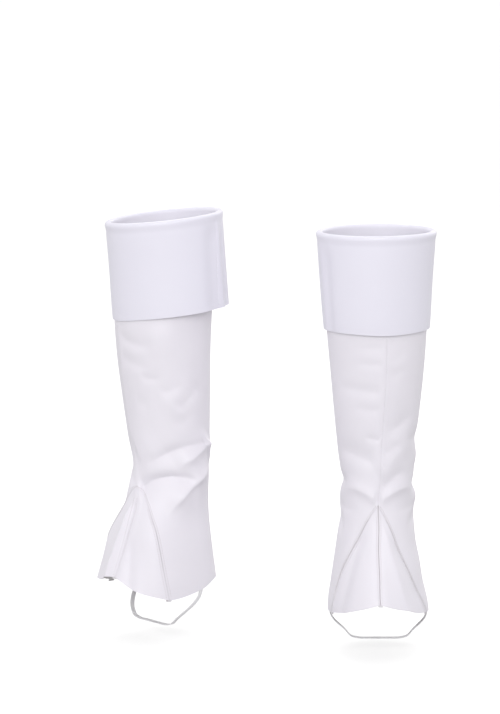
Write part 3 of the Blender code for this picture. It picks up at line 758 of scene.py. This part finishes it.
# %% Cuff sizes and dents
CUFF_DEPTH = 0.1142                          # from the rim down to the cuff's edge
CUFF_DIP, DIP_FOCUS = 0.0015, 8              # how much lower the edge is at the front, and how narrowly
CUFF_SLANT = {"left": (0, 0), "right": (0.0019, 140)}     # how much lower it hangs towards one side
CUFF_STAND = 0.0060                          # how far the cuff stands off the leg at its roll
ROLL_HEIGHT = 0.0042
CUFF_CLOSES = 131                            # degrees from the front to its own seam, on the inner side
FLAP = {"left": (0.0034, 0.0042, 0), "right": (0.0020, 0.0200, 158)}     # least stand, most, and where it is
FLAP_FOCUS = 2.8
ROLL_SWELL, SWELL_REACH = 0.0007, 0.0045     # the roll is fuller at its top, and this far down
UNDER_ROLL = (-0.0002, 0.0075, 0.0030)       # the faint dip under the roll: rise, place below it and reach
CUFF_SEAM_ROLL = 0.0005
CUFF_RADIUS = 0.07                           # the flap's mean radius, which spaces its columns
CUFF_CUT_RADIUS = 0.066                      # and the band's, as it was cut
CUFF_CUT = (0.011, 0.014, 0.109)             # its cut depth inside, over the roll and outside

# Upright dents: degrees round at the rim and at the edge, rise, half width in degrees and the share of the
# flap's depth where it starts.
DENT_COLUMNS = ("high", "low", "rise", "width", "start")
DENTS = {
    "left": ((-70, -69, -0.0014, 6.5, 0.03), (-82, -80, 0.0006, 5.0, 0.03)),
    "right": ((121, 126, -0.0026, 7.5, 0.02), (133, 137, 0.0016, 3.5, 0.02), (142, 145, -0.0020, 3.5, 0.05)),
}
DENT_GROW = 0.25                             # over this share of the depth a dent reaches its full rise
INSIDE_STEPS, ROLL_STEPS, FLAP_STEPS, ROUND_STEPS = 7, 19, 62, 232
DROP = np.concatenate([np.linspace(0, 0.97, FLAP_STEPS)[1:], [0.985, 0.993, 0.998, 1.0]])
print("cuff cut:", round(sum(CUFF_CUT) * 1000), "mm deep")

# %% [markdown]
# The band's profile is a row of steps: up inside, over the roll and down the flap. Each step is a stand off
# the leg and a height, all the way round, and the same profile set in by the wall's thickness makes the
# band's other face.

# %% Make the cuffs
def cuff(side):
    """The turned-down band, closed by its own seam towards the back of the inner side."""
    rim = RIM[side]
    least, most, toward = FLAP[side]
    closes = way(side, "inner") * math.radians(CUFF_CLOSES)
    ends = closes + 2 * math.pi
    room = SEAM / 2 / CUFF_RADIUS
    close = CLOSE_ROWS / CUFF_RADIUS
    even = np.linspace(closes + close[-1], ends - close[-1], ROUND_STEPS)
    around = np.concatenate([closes + close, even[1:-1], ends - close[::-1]])
    around = np.clip(around, closes + room, ends - room)
    to_seam = np.minimum(around - closes, ends - around) * CUFF_RADIUS
    edge = least + (most - least) * ((1 + np.cos(around - math.radians(toward))) / 2) ** FLAP_FOCUS
    slant, low_side = CUFF_SLANT[side]
    dip = CUFF_DIP * np.maximum(np.cos(around), 0) ** DIP_FOCUS
    dip += slant * (1 + np.cos(around - math.radians(low_side))) / 2

    def dented(share):
        """Extra stand of the flap at a share of its depth."""
        rise, below, reach = UNDER_ROLL
        lift = rise * np.exp(-((share * CUFF_DEPTH - below) / reach) ** 2) - rolled(to_seam, CUFF_SEAM_ROLL)
        for row in DENTS[side]:
            dent = dict(zip(DENT_COLUMNS, row))
            at = math.radians(dent["high"] + share * (dent["low"] - dent["high"]))
            off = (around - at + math.pi) % (2 * math.pi) - math.pi
            grow = ramp(share - dent["start"], DENT_GROW)
            lift += dent["rise"] * grow * np.exp(-(off / math.radians(dent["width"])) ** 2)
        return lift

    def face(inset):
        """One face of the band: stand and height along its profile, for each step round the leg."""
        radius = (CUFF_STAND + WALL) / 2 - inset
        springs = rim - ROLL_HEIGHT
        centre = (CUFF_STAND - WALL) / 2
        low = leg_top(side) + SEAM / 2
        level = 0 * around
        profile = [(centre - radius + level, low + share * (springs - low) + level)
                   for share in np.linspace(0, 1, INSIDE_STEPS + 1)[:-1]]
        for angle in np.linspace(0, math.pi, ROLL_STEPS):
            swell = ROLL_SWELL * math.sin(angle / 2) ** 2
            profile.append((centre - radius * math.cos(angle) + swell + level,
                            springs + (ROLL_HEIGHT - inset) * math.sin(angle) + level))
        for share in DROP:
            swell = ROLL_SWELL * math.exp(-(share * CUFF_DEPTH / SWELL_REACH) ** 2)
            profile.append((CUFF_STAND + share * (edge - CUFF_STAND) - inset + swell + dented(share),
                            springs - share * (CUFF_DEPTH + dip - ROLL_HEIGHT)))
        stand, height = np.array(profile).transpose(1, 0, 2)
        return smooth_form(side, around + 0 * height, height, stand)

    inside, over, outside = CUFF_CUT
    along = np.concatenate([np.linspace(0, inside, INSIDE_STEPS), inside + np.linspace(0, over, ROLL_STEPS),
                            inside + over + outside * DROP])
    flat = np.stack(np.broadcast_arrays(around[None, :] * CUFF_CUT_RADIUS, along[:, None]), axis=-1)
    return lofted_wall(f"{side}_turned_cuff", face(0.0), face(WALL), flat, (CUFF_VINYL, BACKING, RAW_EDGE))


for side in SIDES:
    cuff(side)

# %% [markdown]
# ## Seam allowances
#
# Behind every seam the two edges are pressed open. They close the groove from behind, and at the hem they
# poke out a little: a small square tab under the middle of the godet, and a knob at each end of the arched
# seam. Each is a narrow strip that follows its seam on the inside. Inside the seams they are coloured darker
# than the backing they are cut from: painted shade for the grooves.

# %% Make the allowances
LEG_REACH, CENTRE_REACH, ARCH_REACH = 0.0036, 0.0030, 0.0021     # half of each allowance's width
SEAM_END = 0.004                             # allowances and thread end this far under the cuff's seam
ALLOWANCE_THICK = 0.0009
ALLOWANCE_ROOM = 0.00012
TAB_BELOW, KNOB_BELOW = 0.0024, 0.0018       # how far the ends stand below the hem


def beside(side, around, height, off):
    """A line of the cloth moved off metres sideways, or a grid of lines where off is a row of distances."""
    width = half_width(side, height)
    run, rise = np.gradient(around) * width, np.gradient(height)
    length = np.hypot(run, rise)
    return ((around - np.multiply.outer(off, rise / length / width)).T,
            (height + np.multiply.outer(off, run / length)).T)


def strip_along(name, side, around, height, reach, finish):
    """A narrow strip behind a seam: around and height say where the seam runs, reach is half its width."""
    turned, level = beside(side, around, height, np.linspace(-reach, reach, 7))
    base, normal = smooth_form(side, turned, level), outward(side, turned, level)
    lift = folded(side, turned, level) + BAND_RISE - WALL - ALLOWANCE_ROOM
    shown, hidden = (base + normal * (lift - depth)[..., None] for depth in (0.0, ALLOWANCE_THICK))
    return lofted_wall(name, shown, hidden, on_cloth(side, turned, level), (finish, BACKING, RAW_EDGE))


for side in SIDES:
    top, tip = leg_top(side) - SEAM_END, TIP[side]
    front_hem, back_hem = hem_height(side, 0), hem_height(side, math.pi)
    strips = {
        "front": (np.zeros(140), np.linspace(top, tip + 0.001, 140), LEG_REACH),
        "back": (np.full(160, math.pi), np.linspace(top, back_hem + 0.0005, 160), LEG_REACH),
        "centre": (np.zeros(60), np.linspace(tip - 0.002, front_hem + 0.0005, 60), CENTRE_REACH),
        "centre_end": (np.zeros(9), front_hem + np.linspace(0.0003, -TAB_BELOW, 9), CENTRE_REACH),
    }
    for half in HALVES:
        turned, height = arch_line(side, half, np.linspace(0.01, 1, 90))
        turned, down = way(side, half) * turned, np.linspace(0.0002, KNOB_BELOW, 7)
        strips[f"arch_{half}"] = (turned, height, ARCH_REACH)
        strips[f"arch_{half}_end"] = (turned[-1] + 0 * down, height[-1] - down, ARCH_REACH)
    for label, row in strips.items():
        strip_along(f"{side}_allowance_{label}", side, *row, RAW_EDGE if label.endswith("end") else SHADED_ALLOWANCE)

# %% [markdown]
# ## Elastic straps
#
# A narrow band of braided elastic is caught inside the hem on both sides and passes under the arch of the
# shoe. It lies flat against the wall at its ends, slants forward and in to the edge of the sole, and runs
# straight across below.

# %% Strap route
STRAP_WIDTH = 0.0060
STRAP_THICK = 0.0014
STRAP_CORDS = 5
STRAP_AROUND = 88                            # degrees from the front to each of its ends
STRAP_UP = 0.012                             # how far its ends go up inside the hem
STRAP_ROOM = 0.0005                          # between it and the wall there
STRAP_STEPS = 200
STRAP_UNDER = (                              # under the foot: out from the middle, ahead, above the ground
    (0.0000, 0.0310, 0.0157), (0.0120, 0.0310, 0.0157), (0.0240, 0.0310, 0.0160),
    (0.0335, 0.0300, 0.0184), (0.0385, 0.0285, 0.0235))


def strap_half(side, half):
    """The strap's middle line from inside the hem, down to the edge of the sole and in under the foot."""
    around = way(side, half) * math.radians(STRAP_AROUND)
    heights = hem_height(side, around) + np.array([STRAP_UP, STRAP_UP / 2, 0.0])
    ends = cloth(side, half, around + 0 * heights, heights, WALL + STRAP_ROOM + STRAP_THICK / 2)
    out, ahead, height = np.array(STRAP_UNDER[::-1]).T
    cut = section(side, heights[-1])
    dx, dy = turned_with_leg(cut, way(side, half) * out, ahead)
    under = np.stack([cut["centre_x"] + dx, cut["centre_y"] + dy, height - HOLD], axis=-1)
    return np.concatenate([ends, under])


def strap_frame(side):
    """Points along the strap, with the directions across its width and through its thickness."""
    points = np.concatenate([strap_half(side, "inner"), strap_half(side, "outer")[-2::-1]])
    along = np.append(0, np.cumsum(np.linalg.norm(np.diff(points, axis=0), axis=1)))
    at = np.linspace(0, along[-1], STRAP_STEPS + 1)
    line = np.stack([smooth(at, along, axis) for axis in points.T], axis=-1)
    run = np.gradient(line, axis=0)
    run /= np.linalg.norm(run, axis=-1, keepdims=True)
    ahead = np.array([*turned_with_leg(section(side, hem_height(side, 0)), 0, 1), 0])
    wide = ahead - run * (run @ ahead)[:, None]
    wide /= np.linalg.norm(wide, axis=-1, keepdims=True)
    thick = np.cross(run, wide)
    return line, wide, thick, at


def strap_band(side):
    """The core of the elastic, a band with round edges and five soft cords in its width."""
    line, wide, thick, at = strap_frame(side)
    share = np.linspace(-1, 1, 41)
    cords = 0.72 + 0.16 * np.cos(share * math.pi * STRAP_CORDS) ** 2
    bulge = np.sqrt(np.clip(1 - np.abs(share) ** 4, 0, 1)) * cords
    rails = line[None] + share[:, None, None] * wide * STRAP_WIDTH / 2
    swell = bulge[:, None, None] * thick * STRAP_THICK / 2
    flat = np.stack(np.broadcast_arrays(share[:, None] * STRAP_WIDTH / 2, at[None, :]), axis=-1)
    print(side, "strap is", round(float(at[-1]) * 1000), "mm long")
    return lofted_wall(f"{side}_strap", rails + swell, rails - swell, flat, (ELASTIC,) * 3)


for side in SIDES:
    strap_band(side)

# %% [markdown]
# ## Stitches, holes and braid with Geometry Nodes
#
# Thousands of stitches repeat along the seams, and that is what Geometry Nodes are for. The tree takes
# lines of points, each point with the direction that faces out of the cloth, spaces places along them, and
# sets a small bead on each, laid along the line. The same tree makes the stitches, the needle holes between
# them, and the crossing yarns of the elastic: only its named inputs change.

# %% The beading tree
BEAD_INPUTS = {"Lines": "NodeSocketGeometry", "Pitch": 0.003, "Start": 0.0, "Long": 0.002, "Wide": 0.0004,
               "High": 0.0004, "Slant": 0.0, "Unevenness": 0.04, "Finish": "NodeSocketMaterial"}
BEAD_SEED = 7
PAST_END = 10.0                              # longer than any line, so that only a line's start is trimmed


def beading_tree():
    """Beads along lines: long, wide and high are a bead's sizes, pitch is the step from one to the next."""
    tree = bpy.data.node_groups.new("beads along lines", "GeometryNodeTree")
    inputs = {}
    for name, value in BEAD_INPUTS.items():
        kind = "NodeSocketFloat" if isinstance(value, float) else value
        socket = tree.interface.new_socket(name=name, in_out="INPUT", socket_type=kind)
        if isinstance(value, float):
            socket.default_value = value
        inputs[name] = socket.identifier
    tree.interface.new_socket(name="Beads", in_out="OUTPUT", socket_type="NodeSocketGeometry")

    def add(kind, sockets=None, output=0, **settings):
        """Adds a node, its settings first and then its sockets, and gives one of its outputs."""
        node = tree.nodes.new(kind)
        for key, value in settings.items():
            setattr(node, key, value)
        for key, value in (sockets or {}).items():
            if hasattr(value, "is_output"):
                tree.links.new(value, node.inputs[key])
            else:
                node.inputs[key].default_value = value
        return node.outputs[output] if node.outputs else None

    given = tree.nodes.new("NodeGroupInput").outputs
    curve = add("GeometryNodeMeshToCurve", {"Mesh": given["Lines"]}, "Curve")
    trimmed = add("GeometryNodeTrimCurve", {"Curve": curve, 4: given["Start"], 5: PAST_END}, mode="LENGTH")
    spaced = add("GeometryNodeResampleCurve", {"Curve": trimmed, "Length": given["Pitch"]}, mode="LENGTH")
    tangent = add("GeometryNodeInputTangent")
    out = add("GeometryNodeInputNamedAttribute", {"Name": "out"}, data_type="FLOAT_VECTOR")
    laid = add("FunctionNodeAxesToRotation", {0: tangent, 1: out}, primary_axis="X", secondary_axis="Z")
    jitter = add("FunctionNodeRandomValue", {2: -1.0, 3: 1.0, "Seed": BEAD_SEED}, 1, data_type="FLOAT")
    sway = add("ShaderNodeMath", {0: jitter, 1: given["Unevenness"]}, operation="MULTIPLY")
    lean = add("ShaderNodeMath", {0: sway, 1: given["Slant"]}, operation="ADD")
    swing = add("ShaderNodeCombineXYZ", {"Z": lean})
    turned = add("FunctionNodeRotateRotation", {0: laid, 1: swing}, rotation_space="LOCAL")
    bead = add("GeometryNodeMeshUVSphere", {"Segments": 6, "Rings": 4, "Radius": 0.5})
    soft = add("GeometryNodeSetShadeSmooth", {"Geometry": bead})
    size = add("ShaderNodeCombineXYZ", {"X": given["Long"], "Y": given["Wide"], "Z": given["High"]})
    placed = add("GeometryNodeInstanceOnPoints",
                 {"Points": spaced, "Instance": soft, "Rotation": turned, "Scale": size})
    real = add("GeometryNodeRealizeInstances", {"Geometry": placed})
    dressed = add("GeometryNodeSetMaterial", {"Geometry": real, "Material": given["Finish"]})
    add("NodeGroupOutput", {0: dressed})
    return tree, inputs


BEADING, BEADING_INPUTS = beading_tree()


def beads(name, lines, **values):
    """Runs the beading tree over lines of points and outward directions, and keeps its result as a mesh."""
    points = np.concatenate([line[0] for line in lines])
    out = np.concatenate([line[1] for line in lines])
    starts = np.cumsum([0] + [len(line[0]) for line in lines])
    edges = [(i, i + 1) for a, b in zip(starts, starts[1:]) for i in range(a, b - 1)]
    mesh = bpy.data.meshes.new(name + " lines")
    mesh.from_pydata(points.tolist(), edges, [])
    layer = mesh.attributes.new("out", "FLOAT_VECTOR", "POINT")
    layer.data.foreach_set("vector", out.ravel().astype(np.float32))
    guide = bpy.data.objects.new(name + " lines", mesh)
    PIECES.objects.link(guide)
    modifier = guide.modifiers.new("beads", "NODES")
    modifier.node_group = BEADING
    for key, value in values.items():
        modifier[BEADING_INPUTS[key]] = value
    seen = guide.evaluated_get(bpy.context.evaluated_depsgraph_get())
    result = bpy.data.meshes.new_from_object(seen)
    result.name = name
    guide.modifiers.clear()
    bpy.data.objects.remove(guide)
    return finished(name, result)


# %% [markdown]
# ## Sewing the seams
#
# The front and back seams show only the thread that crosses their groove. The seams of the godet are
# topstitched on both sides, and there the needle has left a row of small dark holes that reads more
# strongly than the white thread itself.

# %% Stitch lines and their stitches
STITCH_PITCH = 0.0030
STITCH = {"Pitch": STITCH_PITCH, "Long": 0.0019, "Wide": 0.00045, "High": 0.00035}
HOLE = {"Pitch": STITCH_PITCH, "Start": STITCH_PITCH / 2, "Long": 0.0012, "Wide": 0.0010, "High": 0.0003}
CROSSING = {"Pitch": STITCH_PITCH, "Long": 0.0016, "Wide": 0.0004, "High": 0.0003}
STITCH_SINK, CROSSING_SINK = 0.00005, 0.0002     # how deep the thread lies in the cloth
CROSSING_TURN = 0.0008                           # and how far round from the seam, in radians
ROW_STARTS = {1: (0.02, 170), -1: (0.45, 95)}    # share of the arched seam and points, outside and inside it
ROW_ENDS = 0.985
ARCH_ROW_TURN = 0.012                            # its rows keep this far round from the middle, in radians
CENTRE_ROW_DROP = 0.012                          # the middle's rows start this far under the tip
ROW_END_UP = 0.002                               # and end this far above the hem


def seam_line(side, half, around, height, sink, lap=LAP):
    """Points of the cloth along a seam line, a little sunk, with the directions out of it."""
    return cloth(side, half, around, height, sink, lap), outward(side, around, height)


def topstitch_lines(side):
    """The four rows beside the arched seams and the two beside the godet's middle seam."""
    lines = []
    for half in HALVES:
        turn = way(side, half)
        for out, (start, count) in ROW_STARTS.items():
            seam = arch_line(side, half, np.linspace(start, ROW_ENDS, count))
            turned, height = beside(side, *seam, out * ARCH_STITCH)
            turned = turn * np.maximum(turned, ARCH_ROW_TURN)
            lines.append(seam_line(side, half, turned, height, STITCH_SINK, out * LAP))
        height = np.linspace(TIP[side] - CENTRE_ROW_DROP, hem_height(side, 0) + ROW_END_UP, 150)
        turned = turn * CENTRE_STITCH / half_width(side, height)
        lines.append(seam_line(side, half, turned, height, STITCH_SINK, -LAP))
    return lines


def groove_lines(side):
    """The front and back seams, along the bottom of their grooves."""
    ends = ((CROSSING_TURN, TIP[side], 220), (math.pi - CROSSING_TURN, hem_height(side, math.pi), 260))
    for around, bottom, count in ends:
        height = np.linspace(leg_top(side) - SEAM_END, bottom + ROW_END_UP, count)
        yield seam_line(side, "inner", around + 0 * height, height, CROSSING_SINK)


for side in SIDES:
    rows = topstitch_lines(side)
    beads(f"{side}_topstitching", rows, Finish=THREAD, **STITCH)
    beads(f"{side}_needle_holes", rows, Finish=NEEDLE, **HOLE)
    beads(f"{side}_seam_thread", list(groove_lines(side)), Finish=THREAD, **CROSSING)

# %% [markdown]
# ## Braiding the elastic
#
# Braided elastic is rubber cords with yarns crossing over them in a herringbone. Rows of slanted beads lie
# on both faces of the band, and each row leans the other way from its neighbour.

# %% Braid the straps
BRAID_ROWS = 5
BRAID = {"Pitch": 0.0013, "Long": 0.0017, "Wide": 0.0008, "High": 0.00030, "Unevenness": 0.08}
BRAID_SLANT = 0.75                           # how far each yarn leans, in radians
BRAID_SPREAD, BRAID_DEPTH = 0.92, 0.40       # shares of the width that the rows take, and of the thickness
for side in SIDES:
    line, wide, thick = strap_frame(side)[:3]
    leaning = {1: [], -1: []}
    for row in range(BRAID_ROWS):
        aside = (row - (BRAID_ROWS - 1) / 2) / BRAID_ROWS * STRAP_WIDTH * BRAID_SPREAD
        for face in (1, -1):
            points = line + wide * aside + thick * face * STRAP_THICK * BRAID_DEPTH
            leaning[1 if row % 2 else -1].append((points, thick * face))
    for lean, lines in leaning.items():
        word = "right" if lean > 0 else "left"
        beads(f"{side}_braid_leaning_{word}", lines, Slant=BRAID_SLANT * lean, Finish=ELASTIC, **BRAID)

# %% [markdown]
# ## What each piece is
#
# Every piece is attached to the one body of the frame, because the pair is held as it is worn, and the plain
# solids that the pieces stand for are hidden. A table gives the flat size that each kind of cloth piece was
# cut to, and the area of each one's shown side is printed.

FLAT = {                     # width and length of the cut, and its area, in metres
    "leg_panel": (0.200, 0.435, 0.0690),
    "godet_panel": (0.100, 0.150, 0.0055),
    "turned_cuff": (0.440, 0.135, 0.0560),
}


def shown_area(piece):
    """Area of a piece's shown side."""
    return sum(face.area for face in piece.data.polygons if face.material_index == VINYL_SIDE)


for name, piece in made.items():
    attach(piece, "root")
for side in SIDES:
    slots = {f"{side}_turned_cuff": "cuff_vinyl", f"{side}_strap": "elastic",
             f"{side}_braid_leaning_left": "elastic", f"{side}_braid_leaning_right": "elastic"}
    for name, piece in made.items():
        if name.startswith(side):
            slots.get(name, "vinyl")
    for half in HALVES:
        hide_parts(f"{side}_leg_{half}")
        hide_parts(f"{side}_godet_{half}")
    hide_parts(f"{side}_cuff")
    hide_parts(f"{side}_stirrup")
for name, piece in made.items():
    for kind, (width, length, area) in FLAT.items():
        if kind in name:
            print(name, "shown area", round(shown_area(piece), 4))

# %% [markdown]
# ## Floor and backdrop
#
# A white object on white needs care: it must stay a little darker than what is behind it. The floor glows a
# little by itself, so that it is pale without a strong light, and neither it nor the backdrop is seen in the
# vinyl's gloss.

# %% Floor and backdrop
def plain_finish(name, colour, glow):
    """A matt stage finish that also glows a little, as a floor under its own lights does."""
    glowing = {"Emission Color": (1, 1, 1, 1), "Emission Strength": glow}
    return Recipe(name).surface((*colour, 1), 0.9, glowing)


def stage_disc(name, radius, height, material, steps=96):
    """A flat round floor that is part of the stage and not of the pair."""
    mesh = bpy.data.meshes.new(name)
    turns = [2 * math.pi * i / steps for i in range(steps)]
    ring = [(radius * math.cos(turn), radius * math.sin(turn), height) for turn in turns]
    mesh.from_pydata(ring, [], [tuple(range(steps))])
    mesh.materials.append(material)
    disc = bpy.data.objects.new(name, mesh)
    bpy.context.scene.collection.objects.link(disc)
    return disc


FLOOR_RADIUS, BACKDROP_RADIUS = 60, 70
floor = stage_disc("floor", FLOOR_RADIUS, -HOLD, plain_finish("pale floor", (0.6, 0.6, 0.6), 0.55))
floor.visible_diffuse = floor.visible_glossy = False

bpy.ops.mesh.primitive_uv_sphere_add(segments=48, ring_count=24, radius=BACKDROP_RADIUS)
backdrop = bpy.context.object
backdrop.name = "backdrop"
backdrop.data.materials.append(plain_finish("white backdrop", (0, 0, 0), 1.12))
backdrop.visible_diffuse = backdrop.visible_glossy = backdrop.visible_shadow = False
backdrop.visible_transmission = False
print("stage:", floor.name, "and", backdrop.name)

# %% [markdown]
# ## Light
#
# The folds show only if the light has a direction. One soft box stands high in front and a weak one
# overhead, the surroundings fill the shadows, and two more light the back, because the pair is looked at
# from every side.

# %% Light
GLOW = {"low": 0.49, "side": 1.205, "top": 0.84}        # brightness of the surroundings by height
LEVEL = {"low": -0.7, "side": 0.1, "top": 0.8}          # and where each is reached, from -1 below to 1 above
world = bpy.data.worlds.new("studio")
bpy.context.scene.world = world
studio = Recipe("studio", world)
place = studio.made("ShaderNodeTexCoord")
upward = studio.made("ShaderNodeSeparateXYZ", None, {0: place}, 2)
brighter, dimmer = (
    studio.made("ShaderNodeMapRange", {"interpolation_type": "SMOOTHSTEP"},
                {"Value": upward, "From Min": start, "From Max": end, "To Min": least, "To Max": most})
    for start, end, least, most in ((LEVEL["low"], LEVEL["side"], GLOW["low"], GLOW["side"]),
                                    (LEVEL["side"], LEVEL["top"], 0, GLOW["side"] - GLOW["top"])))
sky = studio.made("ShaderNodeBackground", None, {"Strength": brighter - dimmer})
studio.done(sky, "ShaderNodeOutputWorld")


LIGHTS = {                   # place, the point it looks at, width and height, power, and spread in degrees
    "key": ((-0.34, -2.6, 1.15), (0, 0, 0.6), (1.9, 1.3), 9.3, 100),
    "overhead": ((0, -0.6, 2.5), (0, 0, 0), (2.4, 2.4), 3, 180),
    "rim": ((0, 1.9, 2.5), (0, 0, 0.1), (2.6, 1.0), 26, 180),
    "back": ((1.9, 2.9, 1.6), (0, 0, -0.1), (2.4, 1.8), 18, 180),
}


def soft_light(name, place, toward, size, power, spread):
    """A square soft box that looks at a point, with the degrees that a grid on it lets the light spread."""
    data = bpy.data.lights.new(name, "AREA")
    data.shape = "RECTANGLE"
    data.size, data.size_y = size
    data.energy = power
    data.spread = math.radians(spread)
    light = bpy.data.objects.new(name, data)
    light.location = place
    x, y, z = np.array(toward, float) - np.array(place, float)
    light.rotation_euler = (math.atan2(math.hypot(x, y), -z), 0, math.atan2(-x, y))
    bpy.context.scene.collection.objects.link(light)


for name, row in LIGHTS.items():
    soft_light(name, *row)
print("lights:", ", ".join(LIGHTS))

# %% [markdown]
# ## Camera
#
# A long lens from more than three metres away keeps both boot tops nearly as tall as each other, though one
# stands behind the other. The camera stands higher than the rims and looks a little down into them.

# %% Camera
SENSOR = 36
CAMERA_DOWN = 8.82                                      # degrees that the camera looks down
camera_data = bpy.data.cameras.new("camera")
camera_data.sensor_width = SENSOR
camera_data.lens = 2806 / 714 * SENSOR
camera_data.clip_end = 300
camera = bpy.data.objects.new("camera", camera_data)
camera.location = (-0.024, -3.25, 0.45)
camera.rotation_euler = (math.radians(90 - CAMERA_DOWN), 0, 0)
bpy.context.scene.collection.objects.link(camera)
bpy.context.scene.camera = camera
bpy.context.scene.view_settings.view_transform = "Standard"
print("camera lens", round(camera_data.lens, 1), "mm")
